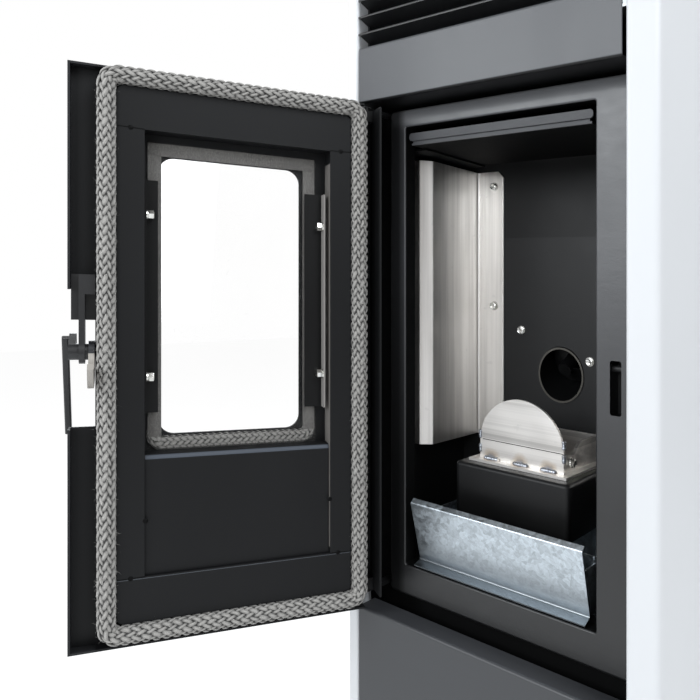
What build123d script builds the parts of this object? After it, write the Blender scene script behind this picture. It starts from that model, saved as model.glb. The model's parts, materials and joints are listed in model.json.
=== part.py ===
from build123d import *
import os
from math import cos, sin, tan, radians

# Slim free-standing pellet stove, modelled with its fire door swung open.
# X runs to the right as seen from the front, -Y is the front, +Z is up. The origin
# is the middle of the underside of the base plinth, which stands on the floor.
# Door pieces are drawn in the closed position and are then swung about the hinge.

os.makedirs("parts", exist_ok=True)

# ---------------------------------------------------------------- driving sizes
# Casing
body_width = 348.0
body_depth = 420.0
body_height = 1085.0
casing_sheet = 1.5
front_sheet = 2.0
flange_width = 24.5        # front flange of each side panel, seen from the front
flange_setback = 12.0      # how far that flange slopes back to the side face
panel_gap = 2.7            # between the front panels or the door and the casing
plinth_height = 45.0
top_cover_depth = 12.0

# Fire door and the opening that it closes
door_bottom = 352.0
door_depth = 33.0          # from the door's face to the rim of the firebox front
door_open_angle = 118.2
door_travel_gap = 2.0      # above and below the door
opening_side_margin = 37.3     # from the door's edge to the edge of the opening
opening_bottom_margin = 43.0
opening_top_margin = 20.5
rope_diameter = 17.5
rope_squeeze_gap = 0.3     # between the rope and the rim it closes on
rope_hinge_margin = 12.8   # from the door's edge to the outer edge of the rope
rope_latch_margin = 23.3
rope_bottom_margin = 8.0
rope_top_margin = 0.5

# Hinge and latch
hinge_from_edge = 6.6
hinge_from_face = 5.2
hinge_pin_radius = 3.0
running_clearance = 0.05
latch_rise = 274.4         # of the handle's shaft above the door's lower edge
latch_from_face = 11.0
latch_turn = 24.0
hook_thickness = 5.0
hook_margin = 19.8         # from the door's edge to the middle of the hook
keeper_pin_radius = 3.0
slot_width = 10.5
slot_height = 48.0

# Fascia, louvres
fascia_height = 60.5
louvre_zone = 121.0        # from the fascia to the top cover
louvre_pitch = 18.3

# Firebox
steel = 3.0
firebox_side_gap = 36.0    # from the casing's side face to the inside of the firebox
firebox_headroom = 46.0    # above the opening
firebox_back = -25.0       # inner face of the back wall
rim_rise = 14.0            # rim of the opening stands proud of the base plate
liner_sheet = 1.5
liner_bottom = 515.0
liner_fold = 23.0          # how far each liner stands off the side wall
baffle_drop = 19.6         # of the baffle below the top of the opening

# Fuel feed
chute_radius = 28.5
chute_wall = 2.0
chute_height = 601.6
chute_slope = 27.0
auger_radius = 24.0
auger_shaft_radius = 8.0
auger_pitch = 40.0
auger_turns = 3.5

# Burn pot and ash
pot_support_width = 135.0
pot_support_top = 509.7
pot_support_bottom = 454.0
pot_width = 100.0
pot_sheet = 3.0
cup_width = 80.0
cup_depth = 38.0
drawer_side_gap = 12.5
drawer_height = 55.0
drawer_sheet = 1.5

# Air and smoke
flue_radius = 40.0
air_inlet_radius = 25.0
flue_height = 270.0
flue_offset = -65.0

# ---------------------------------------------------------------- derived places
half_width = body_width / 2
front_y = -body_depth / 2
rear_y = body_depth / 2
frame_y = front_y + door_depth
front_half = half_width - flange_width
door_half = front_half - panel_gap
cover_bottom = body_height - top_cover_depth
fascia_top = cover_bottom - louvre_zone
fascia_bottom = fascia_top - fascia_height
door_top = fascia_bottom - door_travel_gap
lower_panel_top = door_bottom - door_travel_gap
opening_half = door_half - opening_side_margin
opening_bottom = door_bottom + opening_bottom_margin
opening_top = door_top - opening_top_margin
opening_middle = (opening_bottom + opening_top) / 2
opening_height = opening_top - opening_bottom
base_plate_y = frame_y + rim_rise
lip_depth = rim_rise + steel
firebox_front_y = base_plate_y + steel
firebox_half = half_width - firebox_side_gap
firebox_top = opening_top + firebox_headroom
liner_reach = firebox_half - liner_fold
liner_top = opening_top - 27.0
baffle_height = opening_top - baffle_drop
hinge_x = -door_half + hinge_from_edge
hinge_y = front_y + hinge_from_face
latch_y = front_y + latch_from_face
latch_height = door_bottom + latch_rise
hook_middle = door_half - hook_margin
rope_radius = rope_diameter / 2
rope_y = frame_y - rope_squeeze_gap - rope_radius
rope_left = -door_half + rope_hinge_margin
rope_right = door_half - rope_latch_margin
rope_bottom = door_bottom + rope_bottom_margin
rope_top = door_top - rope_top_margin
drawer_floor = opening_bottom + 0.5
drawer_half = opening_half - drawer_side_gap

hinge_axis = Axis((hinge_x, hinge_y, 0), (0, 0, 1))
latch_axis = Axis((0, latch_y, latch_height), (1, 0, 0))


# ---------------------------------------------------------------- helpers
def folded(points, thickness, radius, side=Side.LEFT):
    """Section of a folded sheet: its outer face follows the points, its bends the radius."""
    with BuildSketch() as section:
        with BuildLine():
            FilletPolyline(*points, radius=radius)
            offset(amount=thickness, side=side)
        make_face()
    return section.sketch


def block(x, y, z, mode=Mode.ADD):
    """A cuboid between the low and high X, Y and Z that are given as pairs."""
    with Locations(((x[0] + x[1]) / 2, (y[0] + y[1]) / 2, (z[0] + z[1]) / 2)):
        return Box(x[1] - x[0], y[1] - y[0], z[1] - z[0], mode=mode)


def front_plane(y):
    """Upright sketch plane at depth y: its X is the stove's X, its Y the stove's Z, it faces forward."""
    return Plane(origin=(0, y, 0), x_dir=(1, 0, 0), z_dir=(0, -1, 0))


def side_plane(x):
    """Upright sketch plane at x: its X is the stove's Y, its Y the stove's Z."""
    return Plane(origin=(x, 0, 0), x_dir=(0, 1, 0), z_dir=(1, 0, 0))


def finish(builder, label):
    """Label a finished piece and write it."""
    builder.part.label = label
    export_step(builder.part, f"parts/{label}.step")


def finish_open(builder, label):
    """Swing a piece of the closed door to the open position, then label and write it."""
    builder.part = builder.part.rotate(hinge_axis, -door_open_angle)
    finish(builder, label)


def finish_handle(builder, label):
    """Turn a piece of the latched handle to the released position, then treat it as door."""
    builder.part = builder.part.rotate(latch_axis, -latch_turn)
    finish_open(builder, label)


def casing_outline(inset=0.0):
    """Plan of the casing, with its two sloped front corners."""
    half = half_width - inset
    nose = front_half - inset * flange_setback / flange_width
    shoulder = front_y + flange_setback + inset
    with BuildSketch() as outline:
        with BuildLine():
            Polyline(
                (-nose, front_y + inset),
                (nose, front_y + inset),
                (half, shoulder),
                (half, rear_y - inset),
                (-half, rear_y - inset),
                (-half, shoulder),
                close=True,
            )
        make_face()
    return outline.sketch


# ================================================================ casing
with BuildPart() as base_plinth:
    add(extrude(casing_outline(), plinth_height, mode=Mode.PRIVATE))
    add(
        extrude(
            Plane.XY.offset(front_sheet) * casing_outline(front_sheet),
            plinth_height,
            mode=Mode.PRIVATE,
        ),
        mode=Mode.SUBTRACT,
    )
finish(base_plinth, "base_plinth")

# Levelling screws run down through welded nuts in the plinth; they are wound in.
screw_reach = 34.0
screw_inset = 32.0
screw_places = [
    (x * (half_width - screw_inset), y * (body_depth / 2 - screw_inset))
    for x in (-1, 1)
    for y in (-1, 1)
]
with BuildPart() as levelling_screws:
    with BuildSketch(Plane.XY.offset(front_sheet)):
        with Locations(*screw_places):
            RegularPolygon(radius=11.0, side_count=6)
    extrude(amount=9.0)
    with BuildSketch(Plane.XY.offset(front_sheet + 0.2)):
        with Locations(*screw_places):
            Circle(4.95)
    extrude(amount=screw_reach - 9.0)
    with BuildSketch(Plane.XY.offset(screw_reach - 7.0)):
        with Locations(*screw_places):
            RegularPolygon(radius=8.5, side_count=6)
    extrude(amount=7.0)
finish(levelling_screws, "levelling_screws")

side_return = 18.0
rear_return = 12.0
with BuildPart() as side_panel_right:
    panel_section = folded(
        [
            (front_half, front_y + side_return),
            (front_half, front_y),
            (half_width, front_y + flange_setback),
            (half_width, rear_y),
            (half_width - rear_return, rear_y),
        ],
        casing_sheet,
        [2.5, 8.0, 2.5],
        Side.LEFT,
    )
    extrude(Plane.XY.offset(plinth_height) * panel_section, cover_bottom - plinth_height)
finish(side_panel_right, "side_panel_right")

with BuildPart() as side_panel_left:
    add(side_panel_right.part)
    mirror(about=Plane.YZ, mode=Mode.REPLACE)
finish(side_panel_left, "side_panel_left")

# Rear panel: vents, flue and air holes, and the mains inlet's cut-out.
rear_panel_y = rear_y - 2 * casing_sheet
air_inlet_x = 70.0
air_inlet_z = 190.0
inlet_x = 95.0
inlet_z = 90.0
inlet_width = 58.0
inlet_height = 29.0
vent_heights = (120.0, 430.0)
vent_rows = 7
vent_pitch = 14.0
vent_length = 120.0
vent_width = 6.0
with BuildPart() as rear_panel:
    with BuildSketch(front_plane(rear_panel_y + casing_sheet)):
        with Locations((0, (plinth_height + cover_bottom) / 2)):
            Rectangle(2 * (half_width - 2 * casing_sheet), cover_bottom - plinth_height)
        with Locations((flue_offset, flue_height)):
            Circle(flue_radius + 2.0, mode=Mode.SUBTRACT)
        with Locations((air_inlet_x, air_inlet_z)):
            Circle(air_inlet_radius + 1.0, mode=Mode.SUBTRACT)
        with Locations((inlet_x, inlet_z)):
            Rectangle(inlet_width, inlet_height, mode=Mode.SUBTRACT)
        with Locations(*[(0, z) for z in vent_heights]):
            with GridLocations(0, vent_pitch, 1, vent_rows):
                SlotOverall(vent_length, vent_width, mode=Mode.SUBTRACT)
    extrude(amount=casing_sheet)
finish(rear_panel, "rear_panel")

# Top cover: a shallow folded lid over the whole casing, with the hopper's mouth.
mouth_half = 108.0
mouth_front = 58.0
mouth_rear = rear_y - 34.0
display_x = 92.0
display_y = front_y + 42.0
display_width = 84.0
display_depth = 40.0
with BuildPart() as top_cover:
    add(
        extrude(Plane.XY.offset(cover_bottom) * casing_outline(), top_cover_depth, mode=Mode.PRIVATE)
    )
    fillet(top_cover.faces().sort_by(Axis.Z)[-1].edges(), radius=2.0)
    add(
        extrude(
            Plane.XY.offset(cover_bottom) * casing_outline(front_sheet),
            top_cover_depth - front_sheet,
            mode=Mode.PRIVATE,
        ),
        mode=Mode.SUBTRACT,
    )
    with BuildSketch(Plane.XY.offset(body_height)):
        with Locations((0, (mouth_front + mouth_rear) / 2)):
            RectangleRounded(2 * mouth_half, mouth_rear - mouth_front, 8.0)
        with Locations((display_x, display_y)):
            Rectangle(display_width - 8.0, display_depth - 8.0)
    extrude(amount=-top_cover_depth, mode=Mode.SUBTRACT)
finish(top_cover, "top_cover")

# Fascia above the door: its lower fold runs back to the firebox front.
with BuildPart() as fascia_panel:
    fascia_section = folded(
        [
            (base_plate_y, fascia_bottom),
            (front_y, fascia_bottom),
            (front_y, fascia_top),
            (front_y + 25.0, fascia_top),
        ],
        front_sheet,
        3.0,
        Side.RIGHT,
    )
    extrude(side_plane(0) * fascia_section, door_half, both=True)
finish(fascia_panel, "fascia_panel")

with BuildPart() as lower_front_panel:
    lower_section = folded(
        [
            (front_y + 15.0, plinth_height),
            (front_y, plinth_height),
            (front_y, lower_panel_top),
            (front_y + 25.0, lower_panel_top),
        ],
        front_sheet,
        3.0,
        Side.RIGHT,
    )
    extrude(side_plane(0) * lower_section, door_half, both=True)
finish(lower_front_panel, "lower_front_panel")

# Warm-air louvres: sloped blades with a folded front lip between two cheeks.
blade_depth = 26.0
blade_drop = 9.0
blade_lip = 3.5
cheek_setback = 16.0
first_rise = 17.0
louvre_count = int((louvre_zone - first_rise) // louvre_pitch) + 1
with BuildPart() as louvre_grille:
    for index in range(louvre_count):
        blade_z = fascia_top + first_rise + index * louvre_pitch
        blade = folded(
            [
                (front_y + 0.5, blade_z - blade_lip),
                (front_y + 0.5, blade_z),
                (front_y + blade_depth, blade_z - blade_drop),
            ],
            1.5,
            1.8,
            Side.RIGHT,
        )
        extrude(side_plane(0) * blade, front_half - 1.0, both=True)
    cheek_x = (front_half - 3.0, front_half - 1.0)
    cheek_y = (front_y + cheek_setback, front_y + blade_depth + 8.0)
    for side in (-1, 1):
        block(sorted(side * x for x in cheek_x), cheek_y, (fascia_top, cover_bottom - 0.5))
finish(louvre_grille, "louvre_grille")

# ================================================================ firebox
slot_middle = hook_middle + 1.0
slot_bottom = latch_height - 35.9
pocket_x = (slot_middle - 9.5, slot_middle + 9.5)
pocket_z = (slot_bottom - 4.0, slot_bottom + slot_height + 4.0)
pocket_back = frame_y + 26.0
keeper_y = frame_y + 9.0
keeper_z = latch_height + 4.6
rim_left = rope_left + 3.0
rim_right = door_half - 0.8
rim_bottom = rope_bottom + 2.0
rim_top = rope_top - 1.0
base_plate_bottom = lower_panel_top - 20.0
with BuildPart() as firebox_front:
    with BuildSketch(front_plane(firebox_front_y)):
        with Locations((0, (base_plate_bottom + fascia_top) / 2)):
            Rectangle(2 * (half_width - casing_sheet), fascia_top - base_plate_bottom)
    extrude(amount=steel)
    with BuildSketch(front_plane(base_plate_y)):
        with Locations(((rim_left + rim_right) / 2, (rim_bottom + rim_top) / 2)):
            RectangleRounded(rim_right - rim_left, rim_top - rim_bottom, 5.0)
    extrude(amount=rim_rise)
    fillet(firebox_front.faces().sort_by(Axis.Y)[0].edges(), radius=3.0)
    with BuildSketch(front_plane(base_plate_y)):
        with Locations(((rim_left + rim_right) / 2, (rim_bottom + rim_top) / 2)):
            Rectangle(rim_right - rim_left - 2 * steel, rim_top - rim_bottom - 2 * steel)
    extrude(amount=rim_rise - steel, mode=Mode.SUBTRACT)
    with BuildSketch(front_plane(frame_y + lip_depth)):
        with Locations((0, opening_middle)):
            RectangleRounded(2 * (opening_half + steel), opening_height + 2 * steel, 4.0)
    extrude(amount=lip_depth - 1.0)
    with BuildSketch(front_plane(frame_y + lip_depth)):
        with Locations((0, opening_middle)):
            RectangleRounded(2 * opening_half, opening_height, 2.0)
    extrude(amount=lip_depth, mode=Mode.SUBTRACT)
    with BuildSketch(front_plane(frame_y + lip_depth)):
        with Locations((slot_middle, slot_bottom + slot_height / 2)):
            RectangleRounded(slot_width, slot_height, 2.0)
    extrude(amount=lip_depth, mode=Mode.SUBTRACT)
    block(pocket_x, (base_plate_y, firebox_front_y), pocket_z, mode=Mode.SUBTRACT)
    opening_edges = (
        firebox_front.faces()
        .filter_by(Axis.Y)
        .group_by(Axis.Y)[0]
        .edges()
        .filter_by_position(Axis.X, -opening_half - 0.1, opening_half + 0.1)
        .filter_by_position(Axis.Z, opening_bottom - 0.1, opening_top + 0.1)
    )
    fillet(opening_edges, radius=1.9)
finish(firebox_front, "firebox_front")

# Latch keeper: a closed pocket behind the slot, with the pin that the hook pulls on.
with BuildPart() as latch_keeper:
    block(pocket_x, (frame_y + steel, pocket_back), pocket_z)
    block(
        (pocket_x[0] + front_sheet, pocket_x[1] - front_sheet),
        (frame_y + steel, pocket_back - front_sheet),
        (pocket_z[0] + front_sheet, pocket_z[1] - front_sheet),
        mode=Mode.SUBTRACT,
    )
    with BuildSketch(side_plane(pocket_x[0])):
        with Locations((keeper_y, keeper_z)):
            Circle(keeper_pin_radius)
    extrude(amount=pocket_x[1] - pocket_x[0])
finish(latch_keeper, "latch_keeper")

firebox_floor = opening_bottom - steel
smoke_slot_x = firebox_half - 24.0
smoke_slot_z = firebox_top - 23.0
igniter_z = 488.0
with BuildPart() as firebox_shell:
    block(
        (-firebox_half - steel, firebox_half + steel),
        (firebox_front_y, firebox_back + steel),
        (firebox_floor, firebox_top + steel),
    )
    block(
        (-firebox_half, firebox_half),
        (firebox_front_y, firebox_back),
        (opening_bottom, firebox_top),
        mode=Mode.SUBTRACT,
    )
    # Smoke leaves through two slots above the baffle.
    with BuildSketch(front_plane(firebox_back + steel)):
        with Locations((-smoke_slot_x, smoke_slot_z), (smoke_slot_x, smoke_slot_z)):
            RectangleRounded(34.0, 30.0, 4.0)
    extrude(amount=steel, mode=Mode.SUBTRACT)
    # The fuel tube and the igniter pass through the back wall.
    with BuildSketch(Plane(origin=(0, firebox_back, chute_height), x_dir=(1, 0, 0),
                           z_dir=(0, cos(radians(chute_slope)), sin(radians(chute_slope))))):
        Circle(chute_radius + 0.2)
    extrude(amount=40.0, both=True, mode=Mode.SUBTRACT)
    with BuildSketch(front_plane(firebox_back + steel)):
        with Locations((0, igniter_z)):
            Circle(8.3)
    extrude(amount=steel, mode=Mode.SUBTRACT)
finish(firebox_shell, "firebox_shell")

# Back plate: a removable plate over the lower back wall, with the fuel tube's hole.
back_plate_sheet = 1.5
back_plate_top = liner_top - 82.0
back_plate_half = 76.5
back_screws = [(-52.0, chute_height + 47.0), (36.0, chute_height + 17.4)]
with BuildPart() as back_plate:
    with BuildSketch(front_plane(firebox_back)):
        with Locations((0, (pot_support_top + 1.0 + back_plate_top) / 2)):
            Rectangle(2 * back_plate_half, back_plate_top - pot_support_top - 1.0)
    extrude(amount=back_plate_sheet)
    with BuildSketch(Plane(origin=(0, firebox_back, chute_height), x_dir=(1, 0, 0),
                           z_dir=(0, cos(radians(chute_slope)), sin(radians(chute_slope))))):
        Circle(chute_radius + 0.2)
    extrude(amount=40.0, both=True, mode=Mode.SUBTRACT)
finish(back_plate, "back_plate")

# Stainless liners: a standing box fold on each side wall with a flange on the back wall.
liner_stand = firebox_back - back_plate_sheet
with BuildPart() as liner_left:
    liner_section = folded(
        [
            (-firebox_half + 0.5, frame_y + 46.0),
            (-liner_reach - 11.5, frame_y + 46.0),
            (-liner_reach, frame_y + 57.5),
            (-liner_reach, firebox_back - liner_sheet),
            (-back_plate_half - 1.2, firebox_back - liner_sheet),
        ],
        liner_sheet,
        [2.5, 2.5, 2.5],
        Side.LEFT,
    )
    extrude(Plane.XY.offset(liner_bottom) * liner_section, liner_top - liner_bottom)
    flange_corner = (
        liner_left.edges()
        .filter_by(Axis.Y)
        .group_by(Axis.X)[-1]
        .sort_by(Axis.Z)[-1]
    )
    chamfer(flange_corner, length=8.0)
finish(liner_left, "liner_left")

with BuildPart() as liner_right:
    add(liner_left.part)
    mirror(about=Plane.YZ, mode=Mode.REPLACE)
finish(liner_right, "liner_right")

# Hex-head screws with a pressed washer, on the liners' flanges and the back plate.
flange_screw_x = back_plate_half + 14.5
flange_screws = [
    (side * flange_screw_x, z) for side in (-1, 1) for z in (liner_top - 18.5, liner_top - 166.0)
]
with BuildPart() as firebox_screws:
    with BuildSketch(front_plane(liner_stand)):
        with Locations(*flange_screws, *back_screws):
            Circle(5.5)
    extrude(amount=1.0)
    with BuildSketch(front_plane(liner_stand - 1.0)):
        with Locations(*flange_screws, *back_screws):
            RegularPolygon(radius=4.6, side_count=6)
    extrude(amount=3.2)
finish(firebox_screws, "firebox_screws")

# Smoke baffle: a loose plate on two rails, pulled out by the bar along its front edge.
baffle_half = opening_half - 3.5
baffle_front = frame_y + 2.6
baffle_rear = firebox_back - 12.0
bar_bottom = baffle_height + 4.4
bar_height = 8.2
with BuildPart() as baffle_plate:
    with BuildSketch(front_plane(baffle_front + front_sheet)):
        with Locations((0, bar_bottom + bar_height / 2)):
            RectangleRounded(2 * baffle_half, bar_height, 3.5)
    extrude(amount=front_sheet)
    block(
        (-baffle_half + 4.0, baffle_half - 4.0),
        (baffle_front + front_sheet, baffle_front + 2 * front_sheet),
        (baffle_height, bar_bottom + bar_height - 1.5),
    )
    block(
        (-baffle_half + 2.0, baffle_half - 2.0),
        (baffle_front + front_sheet, baffle_rear),
        (baffle_height, baffle_height + front_sheet),
    )
finish(baffle_plate, "baffle_plate")

rail_inner = baffle_half - 8.0
with BuildPart() as baffle_rails:
    rail_section = folded(
        [
            (firebox_half, baffle_height + 14.0),
            (firebox_half, baffle_height - 2.3),
            (rail_inner, baffle_height - 2.3),
        ],
        2.0,
        2.5,
        Side.RIGHT,
    )
    extrude(front_plane(baffle_rear) * rail_section, baffle_rear - firebox_front_y - 6.0)
    mirror(about=Plane.YZ)
finish(baffle_rails, "baffle_rails")

# ================================================================ burn pot and ash
pot_front = frame_y + 57.2
pot_base_front = frame_y + 46.7
support_front = frame_y + 33.1
pot_base_top = pot_support_top + pot_sheet
pot_base_half = 58.0
pot_back = firebox_back - 8.0
cup_front = pot_front + 8.0
cup_back = pot_back - 16.8
cup_length = cup_back - cup_front
cup_clearance = 1.5
with BuildPart() as pot_support:
    block(
        (-pot_support_width / 2, pot_support_width / 2),
        (support_front, firebox_back),
        (pot_support_bottom, pot_support_top),
    )
    fillet(pot_support.edges().filter_by(Axis.Z).group_by(Axis.Y)[0], radius=6.0)
    fillet(pot_support.faces().sort_by(Axis.Z)[-1].edges().sort_by(Axis.Y)[:-1], radius=4.0)
    block(
        (-pot_support_width / 2 + steel, pot_support_width / 2 - steel),
        (support_front + steel, firebox_back),
        (pot_support_bottom, pot_support_top - steel),
        mode=Mode.SUBTRACT,
    )
    block(
        (-cup_width / 2 - cup_clearance, cup_width / 2 + cup_clearance),
        (cup_front - cup_clearance, cup_back + cup_clearance),
        (pot_support_top - steel - 1.0, pot_support_top),
        mode=Mode.SUBTRACT,
    )
finish(pot_support, "pot_support")

# Burn pot: arched front plate, side and rear plates tabbed into a base plate, and a
# perforated cup that hangs through the support.
side_plate_height = 22.0
arch_base = 21.0
with BuildPart() as burn_pot:
    block(
        (-pot_base_half, pot_base_half),
        (pot_base_front, pot_back),
        (pot_support_top + 0.3, pot_base_top),
    )
    with BuildSketch(front_plane(pot_front + pot_sheet)):
        with BuildLine():
            Line((-pot_width / 2, pot_base_top), (pot_width / 2, pot_base_top))
            Line((pot_width / 2, pot_base_top), (pot_width / 2, pot_base_top + arch_base))
            ThreePointArc(
                (pot_width / 2, pot_base_top + arch_base),
                (0, pot_base_top + arch_base + 47.5),
                (-pot_width / 2, pot_base_top + arch_base),
            )
            Line((-pot_width / 2, pot_base_top + arch_base), (-pot_width / 2, pot_base_top))
        make_face()
    extrude(amount=pot_sheet)
    # Side plates dip behind the front plate and rise again to the rear.
    for side in (-1, 1):
        edge = side * pot_width / 2
        with BuildSketch(side_plane(min(edge, edge - side * pot_sheet))):
            with BuildLine():
                Polyline(
                    (pot_front + pot_sheet, pot_base_top + side_plate_height - 2.0),
                    (pot_front + pot_sheet, pot_base_top),
                    (pot_back - 4.0, pot_base_top),
                    (pot_back - 4.0, pot_base_top + side_plate_height + 6.0),
                    (pot_front + 46.0, pot_base_top + side_plate_height + 6.0),
                )
                Spline(
                    (pot_front + 46.0, pot_base_top + side_plate_height + 6.0),
                    (pot_front + 24.0, pot_base_top + side_plate_height - 5.0),
                    (pot_front + pot_sheet, pot_base_top + side_plate_height - 2.0),
                    tangents=[(-1, 0), (-1, 0.3)],
                )
            make_face()
        extrude(amount=pot_sheet)
    block(
        (-pot_width / 2, pot_width / 2),
        (pot_back - 4.0 - pot_sheet, pot_back - 4.0),
        (pot_base_top, pot_base_top + side_plate_height + 6.0),
    )
    block(
        (-cup_width / 2, cup_width / 2),
        (cup_front, cup_back),
        (pot_base_top - cup_depth, pot_base_top),
    )
    block(
        (-cup_width / 2 + 2.0, cup_width / 2 - 2.0),
        (cup_front + 2.0, cup_back - 2.0),
        (pot_base_top - cup_depth + 2.0, pot_base_top),
        mode=Mode.SUBTRACT,
    )
    with BuildSketch(Plane.XY.offset(pot_base_top - cup_depth)):
        with Locations((0, (cup_front + cup_back) / 2)):
            with GridLocations(cup_width / 5 - 1.0, (cup_length - 17.0) / 3, 5, 4):
                Circle(3.0)
    extrude(amount=2.0, mode=Mode.SUBTRACT)
    # Tabs of the front plate, welded in slots of the base plate.
    for tab in (-31.0, 0.0, 31.0):
        block((tab - 6.0, tab + 6.0), (pot_front - 2.0, pot_front), (pot_base_top, pot_base_top + 2.2))
finish(burn_pot, "burn_pot")

# Igniter: a rod heater in a tube that points into the back of the cup.
with BuildPart() as igniter:
    with BuildSketch(front_plane(firebox_back + 90.0)):
        with Locations((0, igniter_z)):
            Circle(8.0)
    extrude(amount=90.0)
    with BuildSketch(front_plane(firebox_back)):
        with Locations((0, igniter_z)):
            Circle(4.0)
    extrude(amount=-(cup_back - firebox_back) - cup_clearance - 2.0)
finish(igniter, "igniter")

# Ash drawer: a galvanised pan behind a leaning apron that catches ash at the opening.
apron_foot_y = frame_y + 12.2
pan_front = frame_y + 30.0
pan_back = firebox_back - 4.0
with BuildPart() as ash_pan:
    block(
        (-drawer_half, drawer_half),
        (pan_front, pan_back),
        (drawer_floor, drawer_floor + drawer_height),
    )
    fillet(ash_pan.edges().filter_by(Axis.Z), radius=4.0)
    offset(amount=-drawer_sheet, openings=ash_pan.faces().sort_by(Axis.Z)[-1])
finish(ash_pan, "ash_pan")

apron_half = drawer_half + drawer_sheet
apron_top_y = frame_y - 4.3
apron_top_z = opening_bottom + 70.3
apron_foot_z = drawer_floor + drawer_sheet + 4.0
with BuildPart() as ash_apron:
    apron_section = folded(
        [
            (apron_top_y + 5.0, apron_top_z + 4.0),
            (apron_top_y, apron_top_z),
            (apron_foot_y, apron_foot_z),
            (frame_y + 1.5, drawer_floor + drawer_sheet + 0.4),
        ],
        drawer_sheet,
        2.0,
        Side.LEFT,
    )
    extrude(side_plane(0) * apron_section, apron_half, both=True)
    # Side wings tie the apron to the pan.
    for side in (-1, 1):
        with BuildSketch(side_plane(side * apron_half - (drawer_sheet if side > 0 else 0))):
            with BuildLine():
                Polyline(
                    (apron_foot_y + 0.6, apron_foot_z + 2.0),
                    (pan_front + 8.0, drawer_floor + 1.0),
                    (pan_front + 8.0, drawer_floor + drawer_height - 4.0),
                    (apron_foot_y - 11.0, drawer_floor + drawer_height - 4.0),
                    close=True,
                )
            make_face()
        extrude(amount=drawer_sheet)
finish(ash_apron, "ash_apron")

# ================================================================ fuel feed
slope = radians(chute_slope)
feed_plane = Plane(
    origin=(0, firebox_back, chute_height), x_dir=(1, 0, 0), z_dir=(0, cos(slope), sin(slope))
)
tube_length = 165.0
throat_y = 62.0
throat_half = 20.0
throat_along = (throat_y - firebox_back) / cos(slope)
throat_axis_z = chute_height + (throat_y - firebox_back) * tan(slope)
with BuildPart() as fuel_tube:
    with BuildSketch(feed_plane.offset(-20.0)):
        Circle(chute_radius)
        Circle(chute_radius - chute_wall, mode=Mode.SUBTRACT)
    extrude(amount=tube_length + 20.0)
    block((-40, 40), (firebox_back - 60.0, firebox_back - 3.0), (500, 700), mode=Mode.SUBTRACT)
    block(
        (-throat_half, throat_half),
        (throat_y - throat_half, throat_y + throat_half),
        (throat_axis_z, throat_axis_z + 60.0),
        mode=Mode.SUBTRACT,
    )
finish(fuel_tube, "fuel_tube")

auger_start = 14.0
auger_length = auger_pitch * auger_turns
with BuildPart() as auger_screw:
    with BuildLine():
        Helix(pitch=auger_pitch, height=auger_length, radius=auger_shaft_radius - 0.5)
    with BuildSketch(Plane.XZ):
        with Locations(((auger_radius + auger_shaft_radius - 1.0) / 2, 0)):
            Rectangle(auger_radius - auger_shaft_radius + 1.0, 2.5)
    sweep(is_frenet=True)
    with BuildSketch(Plane.XY.offset(-6.0)):
        Circle(auger_shaft_radius)
    extrude(amount=tube_length - auger_start + 6.0 + 18.0)
auger_screw.part = feed_plane.offset(auger_start).location * auger_screw.part
finish(auger_screw, "auger_screw")

gearbox_half = 28.0
gearbox_length = 45.0
with BuildPart() as auger_gearmotor:
    with BuildSketch(feed_plane.offset(tube_length)):
        RectangleRounded(2 * gearbox_half, 2 * gearbox_half, 4.0)
    extrude(amount=gearbox_length)
    with BuildSketch(feed_plane.offset(tube_length)):
        Circle(auger_shaft_radius + running_clearance)
    extrude(amount=18.5, mode=Mode.SUBTRACT)
    motor_middle = feed_plane.offset(tube_length + gearbox_length / 2)
    with BuildSketch(
        Plane(origin=motor_middle.origin + Vector(gearbox_half, 0, 0), x_dir=(0, 1, 0), z_dir=(1, 0, 0))
    ):
        Circle(21.0)
    extrude(amount=55.0)
finish(auger_gearmotor, "auger_gearmotor")

hopper_half = 120.0
hopper_front = 45.0
hopper_rear = rear_y - 20.0
hopper_shoulder = body_height - 265.0
hopper_sheet = 1.5
hopper_neck = throat_axis_z + 38.0


def hopper_form(inset):
    """Hopper outline as a solid, drawn in by the inset on every side."""
    with BuildPart() as form:
        with BuildSketch(Plane.XY.offset(hopper_shoulder)):
            with Locations((0, (hopper_front + hopper_rear) / 2)):
                Rectangle(2 * (hopper_half - inset), hopper_rear - hopper_front - 2 * inset)
        extrude(amount=body_height - front_sheet - hopper_shoulder)
        with BuildSketch(Plane.XY.offset(hopper_neck)):
            with Locations((0, throat_y)):
                Rectangle(2 * (throat_half - inset), 2 * (throat_half - inset))
        with BuildSketch(Plane.XY.offset(hopper_shoulder)):
            with Locations((0, (hopper_front + hopper_rear) / 2)):
                Rectangle(2 * (hopper_half - inset), hopper_rear - hopper_front - 2 * inset)
        loft()
        with BuildSketch(Plane.XY.offset(hopper_neck)):
            with Locations((0, throat_y)):
                Rectangle(2 * (throat_half - inset), 2 * (throat_half - inset))
        extrude(amount=throat_axis_z - hopper_neck + 12.0)
    return form.part


with BuildPart() as hopper:
    add(hopper_form(0.0))
    add(hopper_form(hopper_sheet), mode=Mode.SUBTRACT)
    with BuildSketch(feed_plane.offset(-20.0)):
        Circle(chute_radius + 0.1)
    extrude(amount=tube_length + 20.0, mode=Mode.SUBTRACT)
finish(hopper, "hopper")

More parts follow.
